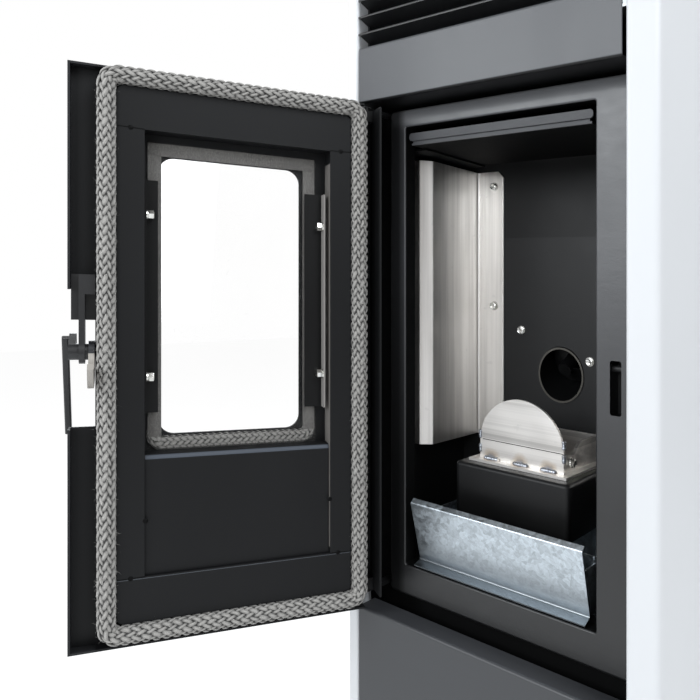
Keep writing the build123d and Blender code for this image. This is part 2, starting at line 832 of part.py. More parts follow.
# Hopper lid on two rear hinges, with a flat rope seal under it.
lid_half = 116.0
lid_front = 50.0
lid_rear = mouth_rear + 8.0
lid_gap = 0.3
seal_thickness = 2.0
lid_bottom = body_height + lid_gap + seal_thickness
lid_sheet = 3.0
lid_pin_y = lid_rear + 5.5
lid_pin_z = lid_bottom + lid_sheet / 2
lid_pin_radius = 2.0
knuckle_radius = 3.2
with BuildPart() as hopper_lid:
    with BuildSketch(Plane.XY.offset(lid_bottom)):
        with Locations((0, (lid_front + lid_rear) / 2)):
            RectangleRounded(2 * lid_half, lid_rear - lid_front, 12.0)
    extrude(amount=lid_sheet)
    # Finger lip along the front edge.
    with BuildSketch(side_plane(-45.0)):
        with Locations((lid_front + 12.0, lid_bottom + lid_sheet + 5.0)):
            SlotOverall(18.0, 6.0)
        with Locations((lid_front + 17.0, lid_bottom + lid_sheet + 2.0)):
            Rectangle(5.0, 6.0)
    extrude(amount=90.0)
    for side in (-1, 1):
        with BuildSketch(side_plane(side * 85.0 - 10.0)):
            with Locations((lid_pin_y, lid_pin_z)):
                Circle(knuckle_radius)
            with Locations((lid_rear - 0.5, lid_pin_z)):
                Rectangle(9.0, lid_sheet)
        extrude(amount=20.0)
        with BuildSketch(side_plane(side * 85.0 - 10.0)):
            with Locations((lid_pin_y, lid_pin_z)):
                Circle(lid_pin_radius + running_clearance)
        extrude(amount=20.0, mode=Mode.SUBTRACT)
finish(hopper_lid, "hopper_lid")

with BuildPart() as lid_seal:
    with BuildSketch(Plane.XY.offset(body_height + lid_gap)):
        with Locations((0, (mouth_front + mouth_rear) / 2)):
            RectangleRounded(2 * mouth_half + 10.0, mouth_rear - mouth_front + 10.0, 10.0)
            RectangleRounded(2 * mouth_half + 2.0, mouth_rear - mouth_front + 2.0, 8.0, mode=Mode.SUBTRACT)
    extrude(amount=seal_thickness)
finish(lid_seal, "lid_seal")

with BuildPart() as lid_hinges:
    for side in (-1, 1):
        with BuildSketch(side_plane(side * 85.0 - 13.5)):
            with Locations((lid_pin_y, lid_pin_z)):
                Circle(lid_pin_radius)
        extrude(amount=27.0)
        for ear in (-13.5, 10.5):
            with BuildSketch(side_plane(side * 85.0 + ear)):
                with Locations((lid_pin_y, lid_pin_z)):
                    Circle(knuckle_radius)
                with Locations((lid_pin_y, (body_height + lid_pin_z) / 2)):
                    Rectangle(2 * knuckle_radius, lid_pin_z - body_height)
            extrude(amount=3.0)
finish(lid_hinges, "lid_hinges")

# ================================================================ controls
with BuildPart() as display_panel:
    with BuildSketch(Plane.XY.offset(body_height)):
        with Locations((display_x, display_y)):
            RectangleRounded(display_width, display_depth, 5.0)
    extrude(amount=3.0)
    fillet(display_panel.faces().sort_by(Axis.Z)[-1].edges(), radius=1.2)
    with BuildSketch(Plane.XY.offset(body_height + 3.0)):
        with Locations((display_x - 16.0, display_y)):
            Rectangle(36.0, 20.0)
    extrude(amount=-0.6, mode=Mode.SUBTRACT)
    with BuildSketch(Plane.XY.offset(body_height + 3.0)):
        with Locations((display_x + 24.0, display_y)):
            with GridLocations(0, 12.0, 1, 3):
                Circle(4.2)
    extrude(amount=-3.0, mode=Mode.SUBTRACT)
    block(
        (display_x - 36.0, display_x + 36.0),
        (display_y - 14.0, display_y + 14.0),
        (body_height - 12.0, body_height - 6.0),
    )
    for leg in (-34.0, 8.0):
        block(
            (display_x + leg, display_x + leg + 3.0),
            (display_y - 14.0, display_y + 14.0),
            (body_height - 6.0, body_height),
        )
finish(display_panel, "display_panel")

button_names = ["button_less", "button_power", "button_more"]
for index, button_name in enumerate(button_names):
    with BuildPart() as button:
        with BuildSketch(Plane.XY.offset(body_height - 4.0)):
            with Locations((display_x + 24.0, display_y + (index - 1) * 12.0)):
                Circle(4.0)
        extrude(amount=8.2)
        fillet(button.faces().sort_by(Axis.Z)[-1].edges(), radius=0.6)
    finish(button, button_name)

board_x = -half_width + 20.0
board_face = board_x + 1.6
with BuildPart() as control_board:
    block((board_x, board_face), (-40.0, 100.0), (110.0, 210.0))
    for y, z, width, height, rise in (
        (-10.0, 180.0, 30.0, 28.0, 24.0),
        (30.0, 190.0, 18.0, 14.0, 16.0),
        (55.0, 190.0, 18.0, 14.0, 16.0),
        (10.0, 135.0, 40.0, 12.0, 10.0),
        (70.0, 135.0, 24.0, 24.0, 3.0),
    ):
        block(
            (board_face, board_face + rise),
            (y - width / 2, y + width / 2),
            (z - height / 2, z + height / 2),
        )
finish(control_board, "control_board")

with BuildPart() as mains_inlet:
    block(
        (inlet_x - inlet_width / 2, inlet_x + inlet_width / 2),
        (rear_panel_y - 24.0, rear_panel_y + casing_sheet),
        (inlet_z - inlet_height / 2, inlet_z + inlet_height / 2),
    )
    block(
        (inlet_x - inlet_width / 2 - 4.0, inlet_x + inlet_width / 2 + 4.0),
        (rear_panel_y + casing_sheet, rear_panel_y + casing_sheet + 2.5),
        (inlet_z - inlet_height / 2 - 3.0, inlet_z + inlet_height / 2 + 3.0),
    )
    socket_x = inlet_x - 13.0
    rocker_x = inlet_x + 17.0
    block(
        (socket_x - 11.5, socket_x + 11.5),
        (rear_panel_y - 12.0, rear_panel_y + 6.0),
        (inlet_z - 8.0, inlet_z + 8.0),
        mode=Mode.SUBTRACT,
    )
    for pin_x, pin_z in ((-7.0, -1.0), (0.0, 2.0), (7.0, -1.0)):
        block(
            (socket_x + pin_x - 1.0, socket_x + pin_x + 1.0),
            (rear_panel_y - 12.0, rear_panel_y - 1.0),
            (inlet_z + pin_z - 2.0, inlet_z + pin_z + 2.0),
        )
    block(
        (rocker_x - 7.5, rocker_x + 7.5),
        (rear_panel_y - 10.0, rear_panel_y + 6.0),
        (inlet_z - 10.5, inlet_z + 10.5),
        mode=Mode.SUBTRACT,
    )
finish(mains_inlet, "mains_inlet")

rocker_y = rear_panel_y - 1.0
with BuildPart() as rocker_switch:
    with BuildSketch(side_plane(rocker_x - 7.0)):
        with BuildLine():
            Polyline(
                (rocker_y + 3.0, inlet_z - 9.6),
                (rocker_y + 3.6, inlet_z),
                (rocker_y + 6.6, inlet_z + 9.0),
                (rocker_y - 3.0, inlet_z + 9.0),
                (rocker_y - 5.0, inlet_z),
                (rocker_y - 5.0, inlet_z - 9.0),
                close=True,
            )
        make_face()
    extrude(amount=14.0)
finish(rocker_switch, "rocker_switch")

# ================================================================ smoke and air
duct_inner = firebox_half - 43.0
duct_rear = firebox_back + steel + 32.0
collector_top = firebox_floor - 7.0
collector_bottom = 300.0
collector_front = -60.0
duct_sheet = 2.0
smoke_port_x = 20.0
smoke_port_z = 325.0
smoke_port_radius = 14.0
with BuildPart() as smoke_ducts:
    block(
        (-firebox_half - steel, firebox_half + steel),
        (collector_front, duct_rear),
        (collector_bottom, collector_top),
    )
    for side in (-1, 1):
        span = sorted((side * duct_inner, side * (firebox_half + steel)))
        block(span, (firebox_back + steel, duct_rear), (collector_top, firebox_top))
    block(
        (-firebox_half - steel + duct_sheet, firebox_half + steel - duct_sheet),
        (collector_front + duct_sheet, duct_rear - duct_sheet),
        (collector_bottom + duct_sheet, collector_top - duct_sheet),
        mode=Mode.SUBTRACT,
    )
    for side in (-1, 1):
        span = sorted((side * (duct_inner + duct_sheet), side * (firebox_half + steel - duct_sheet)))
        block(
            span,
            (firebox_back + steel, duct_rear - duct_sheet),
            (collector_top - steel, firebox_top - duct_sheet),
            mode=Mode.SUBTRACT,
        )
    with BuildSketch(front_plane(duct_rear)):
        with Locations((smoke_port_x, smoke_port_z)):
            Circle(smoke_port_radius)
    extrude(amount=4.0, mode=Mode.SUBTRACT)
finish(smoke_ducts, "smoke_ducts")

fan_x = 30.0
volute_radius = 62.0
volute_depth = 46.0
volute_front = duct_rear
wheel_radius = 52.0


def volute_outline(inset):
    """Snail outline of the smoke fan with its outlet box towards the flue."""
    with BuildSketch() as outline:
        with Locations((fan_x, flue_height)):
            Circle(volute_radius - inset)
        with Locations(((fan_x + flue_offset - 50.0) / 2, flue_height + 10.0)):
            Rectangle(fan_x - flue_offset + 50.0 - 2 * inset, 104.0 - 2 * inset)
    return outline.sketch


with BuildPart() as smoke_fan_housing:
    extrude(front_plane(volute_front + volute_depth) * volute_outline(0.0), volute_depth)
    extrude(
        front_plane(volute_front + volute_depth - 2.0) * volute_outline(2.0),
        volute_depth - 4.0,
        mode=Mode.SUBTRACT,
    )
    with BuildSketch(front_plane(volute_front + volute_depth)):
        with Locations((fan_x, flue_height)):
            Circle(7.0)
        with Locations((flue_offset, flue_height)):
            Circle(flue_radius - 2.0)
    extrude(amount=2.0, mode=Mode.SUBTRACT)
    with BuildSketch(front_plane(volute_front)):
        with Locations((smoke_port_x, smoke_port_z)):
            Circle(smoke_port_radius)
    extrude(amount=-3.0, mode=Mode.SUBTRACT)
finish(smoke_fan_housing, "smoke_fan_housing")

with BuildPart() as smoke_fan_wheel:
    with BuildSketch(front_plane(volute_front + 36.0)):
        with Locations((fan_x, flue_height)):
            Circle(wheel_radius)
    extrude(amount=2.0)
    with BuildSketch(front_plane(volute_front + 34.0)):
        with Locations((fan_x, flue_height)):
            with PolarLocations(32.0, 8):
                Rectangle(36.0, 2.0)
            Circle(12.0)
    extrude(amount=24.0)
    with BuildSketch(front_plane(volute_front + volute_depth + 30.0)):
        with Locations((fan_x, flue_height)):
            Circle(5.0)
    extrude(amount=50.0)
finish(smoke_fan_wheel, "smoke_fan_wheel")

with BuildPart() as smoke_fan_motor:
    with BuildSketch(front_plane(volute_front + volute_depth + 60.0)):
        with Locations((fan_x, flue_height)):
            Circle(38.0)
    extrude(amount=60.0)
    with BuildSketch(front_plane(volute_front + volute_depth + 31.0)):
        with Locations((fan_x, flue_height)):
            Circle(5.0 + running_clearance)
    extrude(amount=31.0, mode=Mode.SUBTRACT)
    fillet(smoke_fan_motor.faces().sort_by(Axis.Y)[-1].edges(), radius=5.0)
finish(smoke_fan_motor, "smoke_fan_motor")

# Flue and air pipes end in plain spigots behind a collar that covers the panel's hole.
spigot_length = 30.0
collar_y = (rear_panel_y + casing_sheet, rear_panel_y + casing_sheet + 2.0)
flue_start = volute_front + volute_depth
air_start = rear_panel_y - 70.0
for label, x, z, radius, wall, start in (
    ("flue_outlet", flue_offset, flue_height, flue_radius, 2.0, flue_start),
    ("air_inlet", air_inlet_x, air_inlet_z, air_inlet_radius, 1.5, air_start),
):
    with BuildPart() as pipe:
        with BuildSketch(front_plane(collar_y[1] + spigot_length)):
            with Locations((x, z)):
                Circle(radius)
        extrude(amount=collar_y[1] + spigot_length - start)
        with BuildSketch(front_plane(collar_y[1])):
            with Locations((x, z)):
                Circle(radius + 7.0)
        extrude(amount=collar_y[1] - collar_y[0])
        with BuildSketch(front_plane(collar_y[1] + spigot_length)):
            with Locations((x, z)):
                Circle(radius - wall)
        extrude(amount=collar_y[1] + spigot_length - start, mode=Mode.SUBTRACT)
    finish(pipe, label)

# Cross-flow fan for the room air, low behind the front panel.
blower_y = -125.0
blower_z = 130.0
blower_half = 95.0
drum_radius = 28.0
scroll_radius = 36.0
with BuildPart() as room_fan_housing:
    with BuildSketch(side_plane(-blower_half - 2.0)):
        with Locations((blower_y, blower_z)):
            Circle(scroll_radius)
            Circle(scroll_radius - 2.0, mode=Mode.SUBTRACT)
        with Locations((blower_y - scroll_radius, blower_z - 8.0)):
            Rectangle(36.0, 40.0, mode=Mode.SUBTRACT)
        with Locations((blower_y + 9.0, blower_z + scroll_radius)):
            Rectangle(50.0, 30.0, mode=Mode.SUBTRACT)
        with Locations((blower_y + scroll_radius - 1.0, blower_z + 40.0)):
            Rectangle(2.0, 80.0)
        with Locations((blower_y - 15.0, blower_z + 57.0)):
            Rectangle(2.0, 50.0)
    extrude(amount=2 * blower_half + 4.0)
    for side in (-1, 1):
        span = sorted((side * blower_half, side * (blower_half + 2.0)))
        with BuildSketch(side_plane(span[0])):
            with Locations((blower_y, blower_z)):
                Circle(scroll_radius)
            with Locations((blower_y + 10.0, blower_z + 41.0)):
                Rectangle(52.0, 82.0)
            with Locations((blower_y, blower_z)):
                Circle(5.0, mode=Mode.SUBTRACT)
        extrude(amount=2.0)
finish(room_fan_housing, "room_fan_housing")

blade_count = 20
with BuildPart() as room_fan_drum:
    for disc in (-blower_half + 2.0, blower_half - 4.0):
        with BuildSketch(side_plane(disc)):
            with Locations((blower_y, blower_z)):
                Circle(drum_radius)
        extrude(amount=2.0)
    with BuildSketch(side_plane(-blower_half + 2.0)):
        with Locations((blower_y, blower_z)):
            with PolarLocations(drum_radius - 4.0, blade_count):
                Rectangle(7.0, 1.2, rotation=30.0)
    extrude(amount=2 * blower_half - 4.0)
    with BuildSketch(side_plane(-blower_half - 8.0)):
        with Locations((blower_y, blower_z)):
            Circle(3.0)
    extrude(amount=2 * blower_half + 26.0)
finish(room_fan_drum, "room_fan_drum")

with BuildPart() as room_fan_motor:
    with BuildSketch(side_plane(blower_half + 2.0)):
        with Locations((blower_y, blower_z)):
            Circle(26.0)
    extrude(amount=40.0)
    with BuildSketch(side_plane(blower_half + 2.0)):
        with Locations((blower_y, blower_z)):
            Circle(3.0 + running_clearance)
    extrude(amount=17.0, mode=Mode.SUBTRACT)
finish(room_fan_motor, "room_fan_motor")

# Heat exchanger: tubes over the firebox, behind the louvres.
exchanger_y = (firebox_front_y + 2.0, firebox_back + 7.0)
exchanger_z = (firebox_top + steel, cover_bottom - 23.0)
tube_radius = 19.0
tube_pitch_x = (firebox_half - tube_radius - 19.0) / 2
tube_pitch_z = 56.0
with BuildPart() as heat_exchanger:
    for end in (exchanger_y[0], exchanger_y[1] - 2.0):
        block((-firebox_half, firebox_half), (end, end + 2.0), exchanger_z)
    for radius, mode in ((tube_radius, Mode.ADD), (tube_radius - 1.5, Mode.SUBTRACT)):
        with BuildSketch(front_plane(exchanger_y[1])):
            with Locations((0, sum(exchanger_z) / 2)):
                with GridLocations(tube_pitch_x, tube_pitch_z, 5, 2):
                    Circle(radius)
        extrude(amount=exchanger_y[1] - exchanger_y[0], mode=mode)
finish(heat_exchanger, "heat_exchanger")

# ================================================================ door hinge brackets
bracket_reach = 9.0
lower_bracket_z = door_bottom + 14.0
upper_bracket_z = door_top - 5.5
bracket_sheet = 3.5
with BuildPart() as hinge_brackets:
    for bracket_z, pin_from, pin_to in (
        (lower_bracket_z, lower_bracket_z, lower_bracket_z + bracket_sheet + 14.0),
        (upper_bracket_z, upper_bracket_z - 14.0, upper_bracket_z + bracket_sheet),
    ):
        with BuildSketch(Plane.XY.offset(bracket_z)):
            with Locations((hinge_x, hinge_y)):
                Circle(3.0)
            with BuildLine():
                Polyline(
                    (hinge_x - 3.0, hinge_y),
                    (hinge_x + 3.0, hinge_y),
                    (hinge_x + 5.0, base_plate_y - 14.0),
                    (hinge_x + 5.0, base_plate_y),
                    (hinge_x - 5.0, base_plate_y),
                    (hinge_x - 5.0, base_plate_y - 14.0),
                    close=True,
                )
            make_face()
        extrude(amount=bracket_sheet)
        with BuildSketch(Plane.XY.offset(pin_from)):
            with Locations((hinge_x, hinge_y)):
                Circle(hinge_pin_radius)
        extrude(amount=pin_to - pin_from)
finish(hinge_brackets, "hinge_brackets")

# ================================================================ fire door
shell_back = front_y + front_sheet
face_y = frame_y - 10.0            # inner face of the door's inner frame
ledge_y = rope_y + rope_radius - rope_diameter
window_centre = 1.4
window_half = door_half - 78.8
window_bottom = door_bottom + 194.0
window_top = door_top - 77.5
window_middle = (window_bottom + window_top) / 2
window_height = window_top - window_bottom
recess_left = -door_half + 52.5
recess_right = door_half - 64.2
recess_bottom = door_bottom + 67.0
recess_top = door_top - 56.5
sill_top = door_bottom + 179.0
free_return = 14.0
notch_width = 12.0
cut_out_bottom = latch_height - 70.4
cut_out_top = latch_height + 56.6
with BuildPart() as door_shell:
    block((-door_half, door_half), (front_y, frame_y), (door_bottom, door_top))
    fillet(door_shell.edges().filter_by(Axis.Z).group_by(Axis.Y)[0], radius=2.5)
    block(
        (-door_half + front_sheet, door_half - front_sheet),
        (shell_back, frame_y),
        (door_bottom + front_sheet, door_top - front_sheet),
        mode=Mode.SUBTRACT,
    )
    # Only the hinge side keeps its full-depth fold.
    block(
        (-door_half + front_sheet, door_half),
        (front_y + free_return, frame_y),
        (door_bottom, door_top),
        mode=Mode.SUBTRACT,
    )
    # Notches at the hinge corners let the brackets in.
    block(
        (-door_half, -door_half + notch_width),
        (front_y, frame_y),
        (door_bottom, lower_bracket_z + bracket_sheet + 0.8),
        mode=Mode.SUBTRACT,
    )
    block(
        (-door_half, -door_half + notch_width),
        (front_y, frame_y),
        (upper_bracket_z - 0.8, door_top),
        mode=Mode.SUBTRACT,
    )
    # Hand hold for the handle on the latch side.
    block(
        (rope_right + 1.0, door_half),
        (front_y, frame_y),
        (cut_out_bottom, cut_out_top),
        mode=Mode.SUBTRACT,
    )
    with BuildSketch(front_plane(shell_back)):
        with Locations((window_centre, window_middle)):
            RectangleRounded(2 * window_half, window_height, 14.0)
    extrude(amount=front_sheet, mode=Mode.SUBTRACT)
    # Hinge blocks, bored for the pins.
    for low in (lower_bracket_z + bracket_sheet + 0.8, upper_bracket_z - 0.8 - 12.0):
        block(
            (-door_half + front_sheet, -door_half + notch_width),
            (shell_back, hinge_y + 6.5),
            (low, low + 12.0),
        )
    for low in (lower_bracket_z + bracket_sheet, upper_bracket_z - 14.5):
        with BuildSketch(Plane.XY.offset(low)):
            with Locations((hinge_x, hinge_y)):
                Circle(hinge_pin_radius + running_clearance)
        extrude(amount=14.5, mode=Mode.SUBTRACT)
finish_open(door_shell, "door_shell")

# Inner frame: a tray whose stepped edge carries the rope and whose middle is open.
tray_sheet = 1.5
rope_bed = 0.1
rope_inner_left = rope_left + rope_diameter
rope_inner_right = rope_right - rope_diameter
rope_corner = 15.0
rope_middle = ((rope_left + rope_right) / 2, (rope_bottom + rope_top) / 2)
ledge_top = door_top - front_sheet - 0.5
with BuildPart() as door_inner_frame:
    with BuildSketch(front_plane(ledge_y - rope_bed)):
        with Locations((rope_middle[0], (rope_bottom + ledge_top) / 2)):
            RectangleRounded(rope_right - rope_left, ledge_top - rope_bottom, rope_corner)
    extrude(amount=ledge_y - rope_bed - shell_back)
    with BuildSketch(front_plane(face_y)):
        with Locations(rope_middle):
            RectangleRounded(
                rope_right - rope_left - 2 * rope_diameter,
                rope_top - rope_bottom - 2 * rope_diameter,
                rope_corner - rope_radius - rope_bed,
            )
    extrude(amount=face_y - ledge_y + rope_bed)
    block(
        (rope_left + tray_sheet, rope_right - tray_sheet),
        (shell_back, ledge_y - rope_bed - tray_sheet),
        (rope_bottom + tray_sheet, ledge_top - tray_sheet),
        mode=Mode.SUBTRACT,
    )
    block(
        (rope_inner_left + tray_sheet, rope_inner_right - tray_sheet),
        (shell_back, face_y - tray_sheet),
        (rope_bottom + rope_diameter + tray_sheet, rope_top - rope_diameter - tray_sheet),
        mode=Mode.SUBTRACT,
    )
    block(
        (recess_left - tray_sheet, recess_right + tray_sheet),
        (shell_back, face_y),
        (recess_bottom - tray_sheet, recess_top + tray_sheet),
    )
    block(
        (recess_left, recess_right),
        (shell_back, face_y),
        (recess_bottom, recess_top),
        mode=Mode.SUBTRACT,
    )
finish_open(door_inner_frame, "door_inner_frame")

with BuildPart() as door_lower_panel:
    lower_door_section = folded(
        [
            (face_y - 3.5, recess_bottom + 0.3),
            (face_y - 3.5, sill_top),
            (shell_back, sill_top),
        ],
        tray_sheet,
        5.0,
        Side.LEFT,
    )
    extrude(side_plane(recess_left + 0.3) * lower_door_section, recess_right - recess_left - 0.6)
finish_open(door_lower_panel, "door_lower_panel")

glass_seal_thickness = 3.0
glass_thickness = 4.0
glass_left = recess_left + 11.5
glass_right = recess_right - 2.8
glass_bottom = sill_top + 0.4
glass_top = window_top + 13.2
glass_middle = ((glass_left + glass_right) / 2, (glass_bottom + glass_top) / 2)
glass_width = glass_right - glass_left
glass_height = glass_top - glass_bottom
glass_y = shell_back + glass_seal_thickness
with BuildPart() as glass_seal:
    with BuildSketch(front_plane(glass_y)):
        with Locations(glass_middle):
            RectangleRounded(glass_width - 2.0, glass_height - 2.0, 4.0)
        with Locations((window_centre, window_middle)):
            RectangleRounded(2 * window_half + 1.0, window_height + 1.0, 14.0, mode=Mode.SUBTRACT)
    extrude(amount=glass_seal_thickness)
finish_open(glass_seal, "glass_seal")

with BuildPart() as door_glass:
    with BuildSketch(front_plane(glass_y + glass_thickness)):
        with Locations(glass_middle):
            RectangleRounded(glass_width, glass_height, 3.0)
    extrude(amount=glass_thickness)
    chamfer(door_glass.faces().sort_by(Axis.Y)[-1].edges(), length=0.8)
finish_open(door_glass, "door_glass")

# Glass clips: an angle whose strip holds the glass and whose leg is screwed to the
# side wall of the recess.
clip_bottom = window_bottom + 22.5
clip_top = window_top - 24.0
clip_screw_z = (clip_bottom + 34.5, clip_top - 33.0)
clip_inner = window_half + 2.5
clip_leg = 10.5
clip_screw_rise = 6.2
clip_head_radius = 4.2
clip_head_length = 7.0
glass_inner_y = glass_y + glass_thickness
clip_legs = {-1: recess_left + 4.3, 1: recess_right - 0.3}
for side, clip_name in ((-1, "glass_clip_hinge_side"), (1, "glass_clip_latch_side")):
    with BuildPart() as glass_clip:
        clip_section = folded(
            [
                (side * clip_inner, glass_inner_y),
                (clip_legs[side], glass_inner_y),
                (clip_legs[side], glass_inner_y + clip_leg),
            ],
            tray_sheet,
            tray_sheet + 0.1,
            Side.LEFT if side > 0 else Side.RIGHT,
        )
        extrude(Plane.XY.offset(clip_bottom) * clip_section, clip_top - clip_bottom)
    finish_open(glass_clip, clip_name)

with BuildPart() as clip_screws:
    for side in (-1, 1):
        head_span = sorted(
            clip_legs[side] - side * (tray_sheet + along) for along in (0.0, clip_head_length)
        )
        with BuildSketch(side_plane(head_span[0])):
            for z in clip_screw_z:
                with Locations((glass_inner_y + clip_screw_rise, z)):
                    RegularPolygon(radius=clip_head_radius, side_count=6)
        extrude(amount=clip_head_length)
finish_open(clip_screws, "clip_screws")

# Rope gasket glued along the stepped edge, one closed loop.
with BuildSketch(front_plane(rope_y)) as rope_loop:
    with Locations(rope_middle):
        RectangleRounded(
            rope_right - rope_left - rope_diameter,
            rope_top - rope_bottom - rope_diameter,
            rope_corner,
        )
rope_route = rope_loop.sketch.face().outer_wire()
with BuildPart() as door_gasket:
    with BuildSketch(Plane(origin=rope_route @ 0, z_dir=rope_route % 0)):
        Circle(rope_radius - 0.05)
    sweep(path=rope_route)
finish_open(door_gasket, "door_gasket")

# Latch: a bearing bracket on the door, and a handle whose shaft carries the hook.
boss_radius = 7.5
hub_radius = 10.5
bracket_x = (hook_middle + 5.5, hook_middle + 10.5)
bracket_top = cut_out_top + 14.0
bracket_half = 8.5
with BuildPart() as handle_bracket:
    with BuildSketch(side_plane(bracket_x[0])):
        with Locations((latch_y, latch_height)):
            Circle(boss_radius + 3.5)
        with BuildLine():
            Polyline(
                (latch_y - bracket_half, latch_height),
                (latch_y + bracket_half, latch_height),
                (latch_y + bracket_half, bracket_top),
                (latch_y - bracket_half, bracket_top),
                close=True,
            )
        make_face()
        with Locations((latch_y, latch_height)):
            Circle(boss_radius + running_clearance, mode=Mode.SUBTRACT)
    extrude(amount=bracket_x[1] - bracket_x[0])
    block(
        (rope_right + 0.5, door_half - front_sheet - 0.3),
        (shell_back, shell_back + 3.0),
        (cut_out_top - 28.0, bracket_top),
    )
    block(
        (rope_right + 0.5, bracket_x[0]),
        (shell_back, latch_y + bracket_half),
        (cut_out_top - 4.0, bracket_top),
    )
finish_open(handle_bracket, "handle_bracket")

bar_width = 6.0
bar_drop = 102.0
bar_rise = 4.0
bar_reach = 19.5
arm_end = door_half - 0.5
with BuildPart() as handle_bar:
    with BuildSketch(side_plane(arm_end - bar_width)):
        with Locations((latch_y - bar_reach / 2, latch_height)):
            SlotOverall(bar_reach + 2 * boss_radius, 2 * boss_radius)
        with Locations((latch_y - bar_reach - bar_width / 2 - 5.0, latch_height)):
            Rectangle(10.0, 30.0, mode=Mode.SUBTRACT)
    extrude(amount=bar_width)
    with BuildSketch(Plane.XY.offset(latch_height - bar_drop)):
        with Locations((arm_end + bar_width / 2 + 0.4, latch_y - bar_reach)):
            RectangleRounded(bar_width, bar_width, 1.5)
    extrude(amount=bar_drop + bar_rise)
    block(
        (arm_end - bar_width, arm_end + 1.0),
        (latch_y - bar_reach - bar_width / 2, latch_y - bar_reach + bar_width / 2),
        (latch_height - boss_radius + 1.5, latch_height + bar_rise),
    )
    with BuildSketch(side_plane(hook_middle + hook_thickness / 2)):
        with Locations((latch_y, latch_height)):
            Circle(boss_radius)
    extrude(amount=arm_end - hook_middle - hook_thickness / 2)
finish_handle(handle_bar, "handle_bar")

# Hook plate: a hub, a curved arm and a claw that rises behind the keeper pin.
pin_y = keeper_y - latch_y
pin_z = keeper_z - latch_height
claw_gap = 0.8
claw_width = 6.5
claw_inner = pin_y + keeper_pin_radius + claw_gap
pocket_floor = pin_z - keeper_pin_radius - claw_gap
with BuildPart() as latch_hook:
    with BuildSketch(
        Plane(
            origin=(hook_middle - hook_thickness / 2, latch_y, latch_height),
            x_dir=(0, 1, 0),
            z_dir=(1, 0, 0),
        )
    ):
        with BuildLine():
            Line((7.0, 7.0), (15.0, 2.0))
            Spline((15.0, 2.0), (20.0, -6.0), (pin_y - 5.0, pocket_floor - 3.0), tangents=[(1, -1), (1, 0.3)])
            Line((pin_y - 5.0, pocket_floor - 3.0), (pin_y - 2.0, pocket_floor))
            Line((pin_y - 2.0, pocket_floor), (claw_inner - 1.0, pocket_floor))
            Line((claw_inner - 1.0, pocket_floor), (claw_inner, pocket_floor + 1.0))
            Line((claw_inner, pocket_floor + 1.0), (claw_inner, pin_z + 3.0))
            Line((claw_inner, pin_z + 3.0), (claw_inner + claw_width, pin_z + 1.0))
            Spline(
                (claw_inner + claw_width, pin_z + 1.0),
                (claw_inner + 2.0, -16.0),
                (18.0, -22.0),
                (-2.0, -9.0),
                tangents=[(0, -1), (-0.6, 1)],
            )
            Line((-2.0, -9.0), (7.0, 7.0))
        make_face()
        Circle(hub_radius)
    extrude(amount=hook_thickness)
finish_handle(latch_hook, "latch_hook")
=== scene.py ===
import json
import math
import random

import bmesh
import bpy
from mathutils import Matrix, Vector


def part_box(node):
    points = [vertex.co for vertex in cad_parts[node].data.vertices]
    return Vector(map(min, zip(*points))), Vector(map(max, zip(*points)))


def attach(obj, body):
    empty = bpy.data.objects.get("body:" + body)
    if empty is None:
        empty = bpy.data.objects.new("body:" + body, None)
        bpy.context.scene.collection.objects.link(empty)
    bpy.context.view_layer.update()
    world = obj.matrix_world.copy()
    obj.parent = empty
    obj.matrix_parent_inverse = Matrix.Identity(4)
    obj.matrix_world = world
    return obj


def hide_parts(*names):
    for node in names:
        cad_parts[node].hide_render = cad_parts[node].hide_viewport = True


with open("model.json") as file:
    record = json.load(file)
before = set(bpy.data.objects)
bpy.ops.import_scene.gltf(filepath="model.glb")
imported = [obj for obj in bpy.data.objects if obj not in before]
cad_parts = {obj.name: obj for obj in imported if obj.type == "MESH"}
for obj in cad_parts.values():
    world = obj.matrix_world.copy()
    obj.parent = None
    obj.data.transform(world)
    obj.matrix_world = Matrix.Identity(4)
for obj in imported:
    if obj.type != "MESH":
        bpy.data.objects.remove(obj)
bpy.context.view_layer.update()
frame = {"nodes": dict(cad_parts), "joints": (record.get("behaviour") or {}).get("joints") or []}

bl_info = {
    "name": "Pellet Stove Dressing",
    "version": (1, 0, 0),
    "blender": (4, 5, 0),
    "location": "View3D > Sidebar > Stove",
    "description": "Adds the rope, screws, welds, finishes and studio of a pellet stove",
    "category": "Object",
}

MM = 0.001
X, Y, Z = range(3)
FAR = 0.5                       # past every part of the stove, for a band without an end
NODES = frame["nodes"]

# The door's pieces are laid out closed, as in its drawing, and swung open about its hinge.
DOOR_JOINT = next(joint for joint in frame["joints"] if joint["name"] == "door_swing")
HINGE = Vector(DOOR_JOINT["pos_m"])
OPENING_ANGLE = -math.radians(DOOR_JOINT["range_deg"][0]) * DOOR_JOINT["axis"][Z]
SWING = Matrix.Rotation(OPENING_ANGLE, 4, "Z")
DOOR_OPEN = Matrix.Translation(HINGE) @ SWING @ Matrix.Translation(-HINGE)


# ------------------------------------------------------------------ shader maths
class Wire:
    """An output socket that Python's operators extend with Math nodes."""

    def __init__(self, finish, socket):
        self.finish = finish
        self.socket = socket

    def maths(self, operation, *values, clamp=False):
        settings = {"operation": operation, "use_clamp": clamp}
        return self.finish.add("ShaderNodeMath", settings, dict(enumerate(values)))

    def __add__(self, other):
        return self.maths("ADD", self, other)

    def __radd__(self, other):
        return self.maths("ADD", other, self)

    def __sub__(self, other):
        return self.maths("SUBTRACT", self, other)

    def __rsub__(self, other):
        return self.maths("SUBTRACT", other, self)

    def __mul__(self, other):
        return self.maths("MULTIPLY", self, other)

    def __rmul__(self, other):
        return self.maths("MULTIPLY", other, self)

    def larger(self, other):
        return self.maths("MAXIMUM", self, other)

    def clamped(self):
        return self.maths("ADD", self, 0.0, clamp=True)


